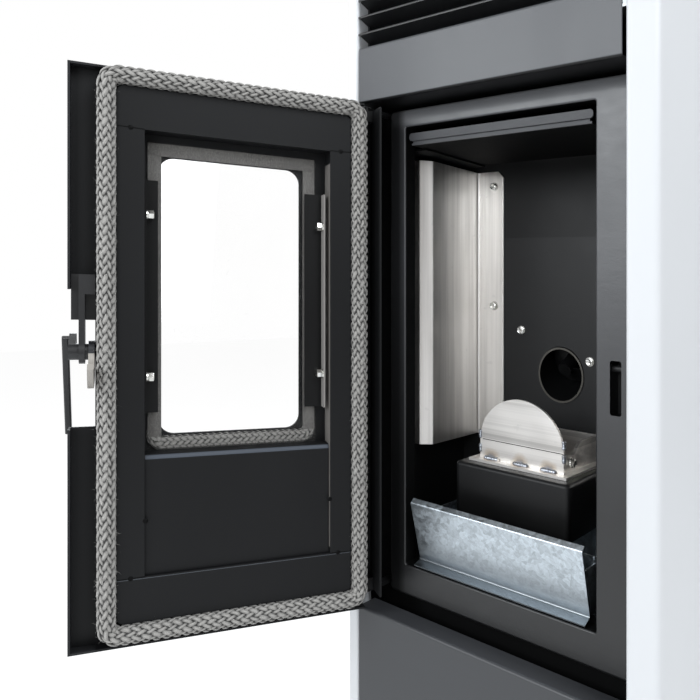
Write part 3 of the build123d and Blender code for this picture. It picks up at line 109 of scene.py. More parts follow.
class Finish:
    """A material, or another owner of shader nodes, whose nodes are added one by one."""

    def __init__(self, name, owner=None, end="ShaderNodeOutputMaterial"):
        self.owner = owner or bpy.data.materials.new(name)
        self.owner.use_nodes = True
        self.nodes = self.owner.node_tree.nodes
        self.links = self.owner.node_tree.links
        self.nodes.clear()
        self.end = self.nodes.new(end)

    def add(self, kind, settings=None, sockets=None, out=0):
        """Adds a node, makes its settings, then fills its sockets with values or links."""
        node = self.nodes.new(kind)
        for key, value in (settings or {}).items():
            if key == "stops":
                ramp = node.color_ramp
                while len(ramp.elements) < len(value):
                    ramp.elements.new(0.5)
                for element, (place, colour) in zip(ramp.elements, value):
                    element.position = place
                    element.color = (*colour, 1.0)
            else:
                setattr(node, key, value)
        for key, value in (sockets or {}).items():
            if isinstance(value, Wire):
                self.links.new(value.socket, node.inputs[key])
            else:
                node.inputs[key].default_value = value
        return Wire(self, node.outputs[out])

    def ray(self, kind):
        """1 for rays of a kind, such as Is Camera Ray, and 0 for others."""
        return self.add("ShaderNodeLightPath", out=kind)

    def place(self, scale=(1.0, 1.0, 1.0), turn=(0.0, 0.0, 0.0), move=(0.0, 0.0, 0.0)):
        """Object coordinates, stretched, turned and moved."""
        where = self.add("ShaderNodeTexCoord", out="Object")
        sockets = {"Vector": where, "Location": move, "Rotation": turn, "Scale": scale}
        return self.add("ShaderNodeMapping", {}, sockets)

    def door_place(self):
        """Object coordinates turned back to the closed door."""
        back = DOOR_OPEN.inverted()
        return self.place(turn=back.to_euler(), move=back.to_translation())

    def axes(self, place):
        """The x, y and z of a place."""
        parts = self.add("ShaderNodeSeparateXYZ", {}, {0: place})
        return [Wire(self, socket) for socket in parts.socket.node.outputs]

    def patch(self, tone, bands, colour, on_door=False):
        """Recolours what lies within all bands, each an axis, a low and a high end."""
        axes = self.axes(self.door_place() if on_door else self.place())
        soft = 0.15 * MM
        share = 1.0
        for axis, low, high in bands:
            rise = self.level(axes[axis], low - soft, low + soft)
            share = rise * share * self.level(axes[axis], high - soft, high + soft, 1.0, 0.0)
        return self.mix(share, tone, colour)

    def fade_up(self, below, above, low, high):
        """Fades from one colour to another between two heights."""
        return self.mix(self.level(self.axes(self.place())[Z], low, high), below, above)

    def noise(self, vector, scale, detail=2.0, roughness=0.5, distortion=0.0, out=0):
        sockets = {"Vector": vector, "Scale": scale, "Detail": detail}
        sockets.update({"Roughness": roughness, "Distortion": distortion})
        return self.add("ShaderNodeTexNoise", {}, sockets, out)

    def level(self, value, low, high, to_low=0.0, to_high=1.0):
        sockets = {"Value": value, "From Min": low, "From Max": high}
        sockets.update({"To Min": to_low, "To Max": to_high})
        return self.add("ShaderNodeMapRange", {"clamp": True}, sockets)

    def mix(self, factor, first, second, blend="MIX"):
        settings = {"data_type": "RGBA", "blend_type": blend}
        return self.add("ShaderNodeMix", settings, {0: factor, 6: colour4(first), 7: colour4(second)}, 2)

    def recolour(self, wave, low, high, share, tone, colour):
        """Turns up to a share of the tone into a colour where a wave rises from low to high."""
        return self.mix(self.level(wave, low, high, 0.0, share), tone, colour)

    def vary(self, wave, middle, less, more):
        """A value that follows a wave from a little less than its middle to a little more."""
        return self.level(wave, 0.3, 0.7, middle - less, middle + more)

    def bump(self, height, distance, strength=1.0, normal=None):
        sockets = {"Height": height, "Distance": distance, "Strength": strength}
        if normal is not None:
            sockets["Normal"] = normal
        return self.add("ShaderNodeBump", {}, sockets)

    def shader(self, **sockets):
        """A Principled shader, with underscores for the spaces in its sockets' names."""
        names = {key.replace("_", " "): value for key, value in sockets.items()}
        names["Base Color"] = colour4(names["Base Color"])
        return self.add("ShaderNodeBsdfPrincipled", {}, names)

    def blend(self, factor, first, second):
        return self.add("ShaderNodeMixShader", {}, {0: factor, 1: first, 2: second})

    def close(self, shader):
        """Ends the material with a shader."""
        self.links.new(shader.socket, self.end.inputs["Surface"])
        return self.owner

    def surface(self, **sockets):
        """Ends the material with one Principled shader."""
        return self.close(self.shader(**sockets))


def colour4(value):
    """A colour socket's value: a link stays a link, three numbers get an alpha."""
    return value if isinstance(value, Wire) else (*value, 1.0)


def shade(colour, factor, lift=0.0):
    """A colour made darker or lighter."""
    return [min(1.0, c * factor + lift) for c in colour]


# ------------------------------------------------------------------ finishes
def powder_coat(name, colour):
    """Powder coat: a faint orange-peel skin and a little handling haze."""
    finish = Finish(name)
    place = finish.place()
    peel = finish.noise(place, 900.0, 2.0, 0.55)
    haze = finish.noise(place, 9.0, 3.0, 0.6)
    return finish.surface(
        Base_Color=finish.mix(finish.level(haze, 0.3, 0.7, 0.97, 1.0), shade(colour, 0.9), colour),
        Roughness=finish.level(haze, 0.3, 0.7, 0.38, 0.47),
        Normal=finish.bump(peel, 0.03 * MM),
    )


def stove_paint(name, colour, grain=520.0, depth=0.08 * MM, roughness=0.5, dust=0.25, gloss=0.5, foot=None):
    """Heat-proof black: sandy texture, fine scuffs and a trace of grey dust.

    Where a foot's height is given, it is painted darkest there, as painted shade.
    """
    finish = Finish(name)
    place = finish.place()
    sand = finish.noise(place, grain, 3.0, 0.65)
    cloud = finish.noise(place, 14.0, 4.0, 0.6)
    scuff = finish.noise(finish.place((3.0, 3.0, 60.0), (0.3, 0.2, 0.5)), 22.0, 3.0, 0.7)
    tone = finish.recolour(cloud, 0.45, 0.8, dust, colour, shade(colour, 1.9, 0.004))
    tone = finish.mix(finish.level(scuff, 0.66, 0.74) * 0.3, tone, shade(colour, 2.2, 0.01))
    if foot is not None:
        # Painted shade: darker towards the foot.
        tone = finish.fade_up(shade(colour, 0.1), tone, foot, foot + 40 * MM)
    return finish.surface(
        Base_Color=tone,
        Roughness=finish.vary(cloud, roughness, 0.06, 0.08),
        Specular_IOR_Level=gloss,
        Normal=finish.bump(sand, depth),
    )


def two_sided_paint(name, colour, inner_y, shade_left=None, dull_top=None, gloss=1.0):
    """Heat-proof black, satin on its front, and matt and darker behind a given depth, as soot and painted
    shade.

    The front is painted lighter higher up, a painted reflection. It turns matt and darker left of shade_left,
    a painted shade, and duller above dull_top.
    """
    finish = Finish(name)
    place = finish.place()
    sand = finish.noise(place, 420.0, 3.0, 0.65)
    cloud = finish.noise(place, 14.0, 4.0, 0.6)
    run = finish.noise(finish.place((1.0, 1.0, 2.5)), 55.0, 3.0, 0.6)
    across, depth, up = finish.axes(place)
    rough = finish.level(cloud, 0.3, 0.7, 0.36, 0.46) + (run - 0.5) * 0.12
    if dull_top is not None:
        rough = rough + finish.level(up, dull_top - 5 * MM, dull_top + 3 * MM, 0.0, 0.45)
    tone = finish.recolour(cloud, 0.45, 0.8, 0.15, colour, shade(colour, 1.9, 0.004))
    # Painted reflection: the front is painted lighter higher up.
    tone = finish.fade_up(tone, shade(colour, 6.5), 500 * MM, 720 * MM)
    bumps = finish.bump(run, 0.3 * MM, 0.5, finish.bump(sand, 0.07 * MM))
    satin = finish.shader(Base_Color=tone, Roughness=rough, Specular_IOR_Level=gloss, Normal=bumps)
    # Soot and painted shade: darker matt paint behind the front and, where shade_left is given, left of it.
    soot = finish.mix(cloud, shade(colour, 0.1), shade(colour, 0.3))
    matt = finish.shader(Base_Color=soot, Roughness=0.7, Specular_IOR_Level=0.1, Normal=bumps)
    inside = finish.level(depth, inner_y - 0.4 * MM, inner_y + 0.4 * MM)
    if shade_left is not None:
        inside = inside.larger(finish.level(across, shade_left, shade_left + 10 * MM, 0.85, 0.0))
    return finish.close(finish.blend(inside, satin, matt))


def satin_paint(name, colour, roughness=0.4, gloss=0.5, patches=(), on_door=False):
    """Smooth satin coat with fine speckle, soft wipe marks and recoloured patches, most of them painted
    highlights and painted shade.
    """
    finish = Finish(name)
    speck = finish.noise(finish.place(), 1500.0, 1.0, 0.5)
    wipe = finish.noise(finish.place((1.0, 1.0, 0.25)), 11.0, 3.0, 0.55)
    tone = finish.recolour(speck, 0.35, 0.65, 0.5, colour, shade(colour, 1.18))
    tone = finish.recolour(wipe, 0.35, 0.75, 0.35, tone, shade(colour, 1.25, 0.004))
    for bands, tint in patches:
        tone = finish.patch(tone, bands, tint, on_door)
    return finish.surface(
        Base_Color=tone,
        Roughness=finish.vary(wipe, roughness, 0.05, 0.06),
        Specular_IOR_Level=gloss,
        Normal=finish.bump(speck, 0.02 * MM),
    )


def stainless(name, colour, tint, roughness, along=(1.0, 1.0, 0.012), welds=(), bend=None):
    """Rolled stainless: long grain, streaks, smears, small stains and burnt halos at welds.

    The grain runs along the axis with the small scale, and a bend's band is painted darker, as painted shade.
    """
    finish = Finish(name)
    place = finish.place()
    grain = finish.noise(finish.place(along), 1400.0, 3.0, 0.6)
    heat = finish.noise(place, 6.5, 3.0, 0.55, 0.6)
    smear = finish.noise(finish.place((1.0, 1.0, 0.3), (0.2, 0.5, 0.1)), 30.0, 4.0, 0.65)
    stain = finish.noise(place, 120.0, 2.0, 0.5)
    streak = finish.noise(finish.place((along[X], along[Y], along[Z] * 2)), 95.0, 3.0, 0.6)
    tone = finish.recolour(heat, 0.35, 0.7, 1.0, colour, tint)
    tone = finish.recolour(streak, 0.42, 0.7, 0.55, tone, shade(tint, 0.62))
    tone = finish.recolour(stain, 0.68, 0.76, 0.35, tone, shade(colour, 0.72))
    # Painted shade on the bend.
    if bend is not None:
        tone = finish.patch(tone, (bend,), finish.mix(1.0, tone, [0.72] * 3, "MULTIPLY"))
    for spot in welds:
        away = finish.add("ShaderNodeVectorMath", {"operation": "DISTANCE"}, {0: place, 1: spot}, out=1)
        ring = away + (stain - 0.5) * 6 * MM
        tone = finish.mix(finish.level(ring, 5 * MM, 12 * MM, 0.75, 0.0), tone, (0.46, 0.36, 0.25))
        tone = finish.mix(finish.level(ring, 3 * MM, 7 * MM, 0.8, 0.0), tone, (0.20, 0.22, 0.27))
    polish = finish.level(smear, 0.3, 0.75, roughness - 0.07, roughness + 0.12)
    return finish.surface(
        Base_Color=tone,
        Metallic=1.0,
        Roughness=polish + (grain - 0.5) * 0.1,
        Normal=finish.bump(grain, 0.01 * MM),
    )


def galvanised(name, colour, cell, roughness=0.36, foot=None):
    """Hot-dip zinc: frost-flower crystals of differing grey, each with its own gloss.

    It is darker at a foot's height, where one is given.
    """
    finish = Finish(name)
    place = finish.place()
    cloud = finish.noise(place, 40.0, 2.0, 0.5)
    swirl = finish.noise(place, 60.0, 2.0, 0.5, out="Color")
    sockets = {0: swirl, 1: (0.012, 0.012, 0.012), 2: place}
    moved = finish.add("ShaderNodeVectorMath", {"operation": "MULTIPLY_ADD"}, sockets)
    flower = 0.0
    for size, share in ((1.0, 0.65), (2.7, 0.35)):
        sockets = {"Vector": moved, "Scale": cell * size}
        crystals = finish.add("ShaderNodeTexVoronoi", {"feature": "F1"}, sockets, out="Color")
        flower = finish.add("ShaderNodeSeparateColor", {}, {0: crystals}) * share + flower
    flower = flower.clamped()
    tone = finish.mix(flower, shade(colour, 0.62), shade(colour, 1.2))
    tone = finish.recolour(cloud, 0.55, 0.75, 0.25, tone, shade(colour, 0.85))
    if foot is not None:
        tone = finish.fade_up(shade(colour, 0.42), tone, foot, foot + 32 * MM)
    return finish.surface(
        Base_Color=tone,
        Metallic=1.0,
        Roughness=finish.level(flower, 0.0, 1.0, roughness - 0.06, roughness + 0.1),
        Normal=finish.bump(flower, 0.02 * MM),
    )


def metal(name, colour, roughness, grain=700.0, depth=0.01 * MM, patina=None):
    """Plain metal with a fine grain and a faint patina."""
    finish = Finish(name)
    scratch = finish.noise(finish.place((1.0, 1.0, 8.0)), grain, 2.0, 0.6)
    cloud = finish.noise(finish.place(), 60.0, 3.0, 0.6)
    return finish.surface(
        Base_Color=finish.recolour(cloud, 0.4, 0.75, 1.0, colour, patina or shade(colour, 0.8)),
        Metallic=1.0,
        Roughness=finish.vary(cloud, roughness, 0.05, 0.08),
        Normal=finish.bump(scratch, depth),
    )


def moulded(name, colour, roughness=0.5, grain=1200.0):
    """Moulded plastic or coated board with a spark-eroded grain."""
    finish = Finish(name)
    place = finish.place()
    spark = finish.noise(place, grain, 2.0, 0.6)
    cloud = finish.noise(place, 25.0, 2.0, 0.5)
    return finish.surface(
        Base_Color=finish.recolour(cloud, 0.3, 0.7, 1.0, colour, shade(colour, 1.15, 0.003)),
        Roughness=finish.vary(spark, roughness, 0.05, 0.07),
        Normal=finish.bump(spark, 0.03 * MM),
    )


def glass_yarn(name, light, dark):
    """Glass-fibre yarn: filaments along each strand, and painted shade where strands dive under and on their
    inner sides.
    """
    finish = Finish(name)
    uv = finish.add("ShaderNodeTexCoord", out="UV")
    along = finish.add("ShaderNodeMapping", {}, {"Vector": uv, "Scale": (26.0, 150.0, 1.0)})
    fibres = finish.noise(along, 1.0, 2.0, 0.6)
    place = finish.place()
    soil = finish.noise(place, 24.0, 4.0, 0.65)
    fleck = finish.noise(place, 420.0, 2.0, 0.6)
    lift = finish.add("ShaderNodeAttribute", {"attribute_name": "lift"}, out="Fac")
    tone = finish.recolour(fibres, 0.34, 0.62, 1.0, dark, light)
    tone = finish.recolour(soil, 0.5, 0.75, 0.35, tone, shade(dark, 0.75))
    tone = finish.recolour(fleck, 0.62, 0.7, 0.3, tone, shade(light, 1.3))
    # Painted shade: darker where the strand lies low, under others and on its inner side.
    tone = finish.mix(finish.level(lift, 0.3, 1.0, 0.97, 0.0), tone, shade(dark, 0.1))
    return finish.surface(
        Base_Color=tone,
        Roughness=0.82,
        Normal=finish.bump(fibres, 0.2 * MM, 0.8),
        Sheen_Weight=0.25,
        Sheen_Roughness=0.5,
    )


def woven_tape(name, colour):
    """Flat woven tape pressed behind the glass: a faint weave and soot stains."""
    finish = Finish(name)
    weave = finish.noise(finish.place((1.0, 1.0, 0.5)), 900.0, 2.0, 0.7)
    stain = finish.noise(finish.place(), 38.0, 4.0, 0.65)
    tone = finish.recolour(weave, 0.35, 0.65, 1.0, shade(colour, 0.72), shade(colour, 1.2))
    tone = finish.recolour(stain, 0.45, 0.75, 0.5, tone, shade(colour, 0.6))
    return finish.surface(Base_Color=tone, Roughness=0.8, Normal=finish.bump(weave, 0.2 * MM))


def fibre(name, colour):
    """Loose filaments."""
    finish = Finish(name)
    tint = finish.noise(finish.place(), 300.0)
    return finish.surface(Base_Color=finish.mix(tint, shade(colour, 0.8), colour), Roughness=0.6)


def fire_glass(name):
    """Ceramic glass with a breath of soot and dust."""
    finish = Finish(name)
    place = finish.place()
    film = finish.noise(place, 7.0, 4.0, 0.6)
    dust = finish.noise(place, 260.0, 2.0, 0.6)
    haze = (finish.level(film, 0.4, 0.8, 0.0, 0.02) + finish.level(dust, 0.68, 0.78, 0.0, 0.05)).clamped()
    clear = finish.shader(Base_Color=(1.0, 1.0, 1.0), Roughness=0.0, IOR=1.25, Transmission_Weight=1.0)
    see_through = finish.add("ShaderNodeBsdfTransparent", {}, {"Color": (1.0, 1.0, 1.0, 1.0)})
    soot = finish.shader(Base_Color=(0.45, 0.43, 0.40), Roughness=0.9)
    return finish.close(finish.blend(haze, finish.blend(0.95, clear, see_through), soot))


def weld_metal(name, colour):
    """Bright weld with grey and straw edges."""
    finish = Finish(name)
    heat = finish.noise(finish.place(), 260.0, 3.0, 0.6)
    stops = ((0.3, colour), (0.6, (0.33, 0.35, 0.39)), (0.78, (0.28, 0.21, 0.13)))
    return finish.surface(
        Base_Color=finish.add("ShaderNodeValToRGB", {"stops": stops}, {"Fac": heat}),
        Metallic=1.0,
        Roughness=finish.level(heat, 0.3, 0.7, 0.25, 0.45),
        Normal=finish.bump(heat, 0.1 * MM),
    )


def dead_screen(name):
    """Smoked display window."""
    finish = Finish(name)
    smear = finish.noise(finish.place(), 60.0, 3.0)
    return finish.surface(
        Base_Color=finish.mix(smear, (0.008, 0.008, 0.01), (0.014, 0.014, 0.016)),
        Roughness=finish.level(smear, 0.3, 0.7, 0.08, 0.16),
        Coat_Weight=0.6,
    )


# ------------------------------------------------------------------ building helpers
BEAD_HEIGHT = 2.0 * MM


def added(name, data):
    """A new object in the scene. A bmesh given as its data becomes a mesh."""
    if isinstance(data, bmesh.types.BMesh):
        mesh = bpy.data.meshes.new(name)
        data.to_mesh(mesh)
        data.free()
        data = mesh
    made = bpy.data.objects.new(name, data)
    bpy.context.scene.collection.objects.link(made)
    return made


def piece(name, mesh, material, body, replaced=()):
    """Makes a finished mesh a named piece that rides on a CAD body."""
    made = added(name, mesh)
    mesh = made.data
    mesh.materials.clear()
    mesh.materials.append(material)
    mesh.shade_smooth()
    mesh.set_sharp_from_angle(angle=math.radians(40.0))
    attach(made, body)
    if replaced:
        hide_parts(*replaced)


def closed_box(name):
    """Low and high corners of a door node in the closed position."""
    back = DOOR_OPEN.inverted()
    points = [back @ vert.co for vert in NODES[name].data.vertices]
    return [Vector([edge(p[i] for p in points) for i in range(3)]) for edge in (min, max)]


def islands(mesh):
    """Middle of each separate shell of a mesh."""
    bm = bmesh.new()
    bm.from_mesh(mesh)
    bmesh.ops.remove_doubles(bm, verts=bm.verts, dist=1e-6)
    left, middles = set(bm.verts), []
    while left:
        first = left.pop()
        group, front = [first], [first]
        while front:
            vert = front.pop()
            near = left & {edge.other_vert(vert) for edge in vert.link_edges}
            left -= near
            group += near
            front += near
        low, high = (Vector([end(v.co[i] for v in group) for i in range(3)]) for end in (min, max))
        middles.append((low + high) / 2)
    bm.free()
    # Sorted by all three, so that no two tie and each run gives the same order.
    return sorted(middles, key=lambda middle: [round(middle[axis], 4) for axis in (Y, Z, X)])


def rounded(bm, edges, size, segments=2):
    settings = {"profile": 0.5, "affect": "EDGES", "material": -1, "clamp_overlap": True}
    return bmesh.ops.bevel(bm, geom=edges, offset=size, segments=segments, **settings)["verts"]


def screw_head(bm, place, radius, height, washer):
    """A hexagon head with a dished top on a pressed washer, along the place's own Z."""
    before = set(bm.verts)
    thick = radius * 0.32
    shape = {"cap_ends": True, "segments": 28, "radius1": washer, "radius2": washer * 0.93, "depth": thick}
    ring = bmesh.ops.create_cone(bm, **shape)["verts"]
    bmesh.ops.translate(bm, verts=ring, vec=(0.0, 0.0, thick / 2))
    shape = {"cap_ends": True, "segments": 6, "radius1": radius, "radius2": radius, "depth": height}
    head = bmesh.ops.create_cone(bm, **shape)["verts"]
    bmesh.ops.translate(bm, verts=head, vec=(0.0, 0.0, height / 2 + radius * 0.3))
    top = [f for f in bm.faces if set(f.verts) <= set(head) and f.normal.z > 0.9]
    bmesh.ops.inset_region(bm, faces=top, thickness=radius * 0.2, depth=radius * 0.1)
    bmesh.ops.inset_region(bm, faces=top, thickness=radius * 0.3, depth=-radius * 0.09)
    own = [edge for edge in bm.edges if set(edge.verts) <= set(head) and edge.is_manifold]
    rounded(bm, [edge for edge in own if edge.calc_face_angle(0.0) > 0.6], radius * 0.07)
    made = [vert for vert in bm.verts if vert not in before]
    bmesh.ops.transform(bm, matrix=place, verts=made)


def screw_heads(spots, normals, radius, height, washer, seed):
    """Screw heads at spots, each turned at random about its own normal."""
    source = random.Random(seed)
    bm = bmesh.new()
    for spot, normal in zip(spots, normals):
        turn = Vector(normal).to_track_quat("Z", "Y").to_matrix().to_4x4()
        spin = Matrix.Rotation(source.uniform(0.0, 1.0), 4, "Z")
        screw_head(bm, Matrix.Translation(spot) @ turn @ spin, radius, height, washer)
    return bm


def bead(bm, start, end, width, normal, ripples, seed):
    """A weld bead: overlapping flattened drops from start to end."""
    source = random.Random(seed)
    normal = Vector(normal)
    step = (end - start) / (ripples - 1)
    side = normal.cross(end - start).normalized()
    along = (end - start).normalized()
    for index in range(ripples):
        drop = bmesh.ops.create_uvsphere(bm, u_segments=10, v_segments=7, radius=1.0)["verts"]
        wobble = source.uniform(0.85, 1.12)
        size = Matrix.Diagonal((step.length * 1.3, width / 2 * wobble, BEAD_HEIGHT * wobble, 1.0))
        turn = Matrix((along, side, normal)).transposed().to_4x4()
        place = Matrix.Translation(start + step * index) @ turn @ size
        bmesh.ops.transform(bm, matrix=place, verts=drop)


def cuboid(bm, low, high, bevel=0.0, segments=2, place=None):
    """A block with rounded edges between two corners."""
    low, high = Vector(low), Vector(high)
    verts = bmesh.ops.create_cube(bm, size=1.0)["verts"]
    shape = Matrix.Translation((low + high) / 2) @ Matrix.Diagonal((*(high - low), 1.0))
    bmesh.ops.transform(bm, matrix=shape, verts=verts)
    if bevel:
        edges = [e for e in bm.edges if set(e.verts) <= set(verts)]
        made = rounded(bm, edges, bevel, segments)
        verts = list(set(made) | {v for v in verts if v.is_valid})
    if place is not None:
        bmesh.ops.transform(bm, matrix=place, verts=verts)


# ------------------------------------------------------------------ the braid
STEPS_PER_CROSSING = 4
YARN_SIDES = 6
YARN_FLATNESS = 0.8       # thickness of a strand over its width
DIVE = 1.85               # depth a strand dives under others, over its half thickness
SUNK = 0.25               # half of how far the less bold hand lies back, over its half thickness
BOLD = 0.12               # extra width of the bolder hand, and less of the other
WANDER = 0.05             # radians that a strand strays round the braid
UNEVEN = 0.09             # share by which a strand swells and thins along its way
SWELL_LENGTH = 31 * MM    # about, from one swelling to the next
CORE_STEPS = 240
CORE_DEPTH = 0.72         # depth of the core under the rope's outside, over the yarn's width
SPREAD = 8.2              # turn of a strand of a flat seal, over the seal's half width


def loop_point(length, left, right, bottom, top, corner):
    """Point and direction on a rounded rectangle, from the middle of its bottom side."""
    width, height = right - left - 2 * corner, top - bottom - 2 * corner
    arc = corner * math.pi / 2
    runs = [width / 2, arc, height, arc, width, arc, height, arc, width / 2]
    length %= sum(runs)
    starts = [
        ((left + right) / 2, bottom),
        (right, bottom + corner),
        (right - corner, top),
        (left, top - corner),
        (left + corner, bottom),
    ]
    headings = [(1, 0), (0, 1), (-1, 0), (0, -1), (1, 0)]
    for index, run in enumerate(runs):
        if length <= run or index == len(runs) - 1:
            break
        length -= run
    turn = index // 2
    if index % 2 == 0:
        (x, z), (dx, dz) = starts[turn], headings[turn]
        return (x + dx * length, z + dz * length), (dx, dz)
    x = right - corner if turn < 2 else left + corner
    z = top - corner if turn in (1, 2) else bottom + corner
    angle = (turn - 1) * math.pi / 2 + length / corner
    sine, cosine = math.sin(angle), math.cos(angle)
    return (x + corner * cosine, z + corner * sine), (-sine, cosine)


def loop_length(left, right, bottom, top, corner):
    return 2 * (right - left + top - bottom - 4 * corner) + 2 * math.pi * corner


def braid_mesh(
    name, hand, seed, route, place, depth_y, half_wide, half_deep, strands, pitch, size, top, full
):
    """The strands of one hand of a braid, each passing over two others and under two.

    With a top given, only the part of the loop below it is made. A full of -1
    makes the strands of the right hand wider than those of the left, 1 the others.
    """
    source = random.Random(seed)
    total = loop_length(*route)
    turns = max(1, round(total / pitch))
    crossing = total / (2 * strands * turns)
    count = 2 * strands * turns * STEPS_PER_CROSSING
    round_trip = 2 * math.pi / count
    wide, deep = size
    wide *= 1.0 + BOLD * full * hand
    sunk = SUNK * (abs(full) - full * hand)
    verts, faces, lift, uvs = [], [], [], []
    for strand in range(strands):
        start = len(verts)
        plump = source.uniform(0.86, 1.1)
        wander, beat = source.uniform(0.0, 2 * math.pi), source.uniform(24.0, 41.0)
        rings = []
        for step in range(count):
            along = total * step / count
            angle = 2 * math.pi * (strand / strands + hand * turns * step / count)
            angle += WANDER * math.sin(round_trip * round(beat * total) * step + wander)
            over = along / crossing + (2 * strand - 0.5 if hand > 0 else -2 * strand - 1.5)
            rise = 0.5 + 0.5 * math.cos(over * math.pi / 2)
            rise = rise * rise * (3 - 2 * rise)
            (x, z), (dx, dz) = loop_point(along, *route)
            ca, sa = math.cos(angle), math.sin(angle)
            across, back = Vector((-dz, 0.0, dx)), Vector((0.0, 1.0, 0.0))
            normal = (across * (ca / half_wide) + back * (sa / half_deep)).normalized()
            centre = Vector((x, depth_y, z)) + across * ca * (half_wide - deep)
            centre += back * sa * (half_deep - deep) - normal * deep * (DIVE * (1 - rise) + sunk)
            rings.append((centre, normal, rise, along))
        for step, (centre, normal, rise, along) in enumerate(rings):
            tangent = (rings[(step + 1) % count][0] - rings[step - 1][0]).normalized()
            side = normal.cross(tangent).normalized()
            uneven = 1 + UNEVEN * math.sin(round_trip * round(total / SWELL_LENGTH) * step + 2.3 * wander)
            swell = wide * plump * uneven * (0.6 + 0.42 * rise)
            thick = deep * (0.8 + 0.2 * rise)
            for corner in range(YARN_SIDES):
                turn = 2 * math.pi * corner / YARN_SIDES + math.pi / 2
                verts.append(centre + side * (math.cos(turn) * swell) + normal * (math.sin(turn) * thick))
                # The lift is highest on a strand's crest where it passes over. The yarn's finish paints shade
                # where it is low.
                lift.append(rise * (0.5 + 0.5 * math.sin(turn)))
            if top is not None and centre.z > top:
                continue
            here, there = start + step * YARN_SIDES, start + (step + 1) % count * YARN_SIDES
            for corner in range(YARN_SIDES):
                after = (corner + 1) % YARN_SIDES
                faces.append((here + corner, here + after, there + after, there + corner))
                u0, u1 = corner / YARN_SIDES, (corner + 1) / YARN_SIDES
                v0, v1 = along * 10.0, (along + total / count) * 10.0
                uvs += [(u0, v0), (u1, v0), (u1, v1), (u0, v1)]
    mesh = bpy.data.meshes.new(name)
    mesh.from_pydata([place @ v for v in verts], [], faces)
    mesh.uv_layers.new(name="UVMap").data.foreach_set("uv", [n for uv in uvs for n in uv])
    mesh.attributes.new("lift", "FLOAT", "POINT").data.foreach_set("value", lift)
    mesh.update()
    if top is not None:
        bm = bmesh.new()
        bm.from_mesh(mesh)
        loose = [vert for vert in bm.verts if not vert.link_faces]
        bmesh.ops.delete(bm, geom=loose, context="VERTS")
        bm.to_mesh(mesh)
        bm.free()
    return mesh


def braid(stem, seeds, material, body, slot, replaced, top=None, full=0.0, **shape):
    """Both hands of a braid, which together replace a soft solid."""
    for side, hand, seed in zip(("left", "right"), (1, -1), seeds):
        name = f"{stem}_{side}"
        mesh = braid_mesh(name, hand, seed, top=top, full=full, **shape)
        piece(name, mesh, material, body, (replaced,) if hand > 0 else ())


def core_mesh(route, depth_y, radius):
    """The round heart of the rope, under its strands, painted dark as the shade seen between them."""
    core = bpy.data.objects.new("core_route", bpy.data.curves.new("core_route", "CURVE"))
    curve = core.data
    curve.dimensions = "3D"
    spline = curve.splines.new("POLY")
    total = loop_length(*route)
    spline.points.add(CORE_STEPS - 1)
    for index, point in enumerate(spline.points):
        (x, z), _ = loop_point(total * index / CORE_STEPS, *route)
        point.co = (*(DOOR_OPEN @ Vector((x, depth_y, z))), 1.0)
    spline.use_cyclic_u = True
    curve.bevel_depth = radius
    curve.bevel_resolution = 3
    mesh = bpy.data.meshes.new_from_object(core)
    bpy.data.objects.remove(core)
    return mesh


def fuzz_mesh(name, route, depth_y, radius, count, longest, seed):
    """Stray filaments that stand out of the braid."""
    source = random.Random(seed)
    total = loop_length(*route)
    half_thick = 0.11 * MM
    # The closed door presses them flat, so none stands past the rope's sealing side.
    sealing_y = depth_y + radius * 0.985
    highest = route[3] + radius + 1.4 * MM
    verts, faces = [], []
    for _ in range(count):
        (x, z), (dx, dz) = loop_point(source.uniform(0.0, total), *route)
        angle = source.uniform(0.0, 2 * math.pi)
        across, along = Vector((-dz, 0.0, dx)), Vector((dx, 0.0, dz))
        normal = across * math.cos(angle) + Vector((0.0, math.sin(angle), 0.0))
        root = Vector((x, depth_y, z)) + normal * radius * 0.96
        lean = (along * source.uniform(-1.3, 1.3) + normal * source.uniform(0.35, 1.0)).normalized()
        length = longest * source.uniform(0.25, 1.0) ** 1.7
        curl = Vector([source.uniform(-0.4, 0.4) for _ in range(3)]) * length
        width = normal.cross(lean).normalized() * half_thick
        points = [root, root + lean * length * 0.5 + curl * 0.3, root + lean * length + curl]
        for point in points:
            point.y = min(point.y, sealing_y)
            point.z = min(point.z, highest)
        start = len(verts)
        verts += [points[0] - width, points[0] + width, points[1] + width, points[1] - width, points[2]]
        faces += [(start, start + 1, start + 2, start + 3), (start + 3, start + 2, start + 4)]
    mesh = bpy.data.meshes.new(name)
    mesh.from_pydata([DOOR_OPEN @ v for v in verts], [], faces)
    mesh.update()
    return mesh


# ------------------------------------------------------------------ settings
class STOVE_PG_rope(bpy.types.PropertyGroup):
    """Sizes of the door's rope gasket."""

    diameter: bpy.props.FloatProperty(
        name="Diameter", description="Thickness of the rope", default=17.5 * MM, unit="LENGTH"
    )
    pitch: bpy.props.FloatProperty(
        name="Pitch", description="Length of one turn of a strand", default=110 * MM, unit="LENGTH"
    )
    strands: bpy.props.IntProperty(
        name="Strands each way", description="Strands of each hand in the braid", default=12, min=4
    )
    yarn_width: bpy.props.FloatProperty(
        name="Yarn width", description="Width of one strand", default=3.5 * MM, unit="LENGTH"
    )
    corner: bpy.props.FloatProperty(
        name="Corner",
        description="Radius of the rope's middle line at the corners",
        default=9.5 * MM,
        unit="LENGTH",
    )
    filaments: bpy.props.IntProperty(
        name="Filaments", description="Stray filaments along the loop", default=3600, min=0
    )
    filament_length: bpy.props.FloatProperty(
        name="Filament length", description="Longest stray filament", default=4.2 * MM, unit="LENGTH"
    )


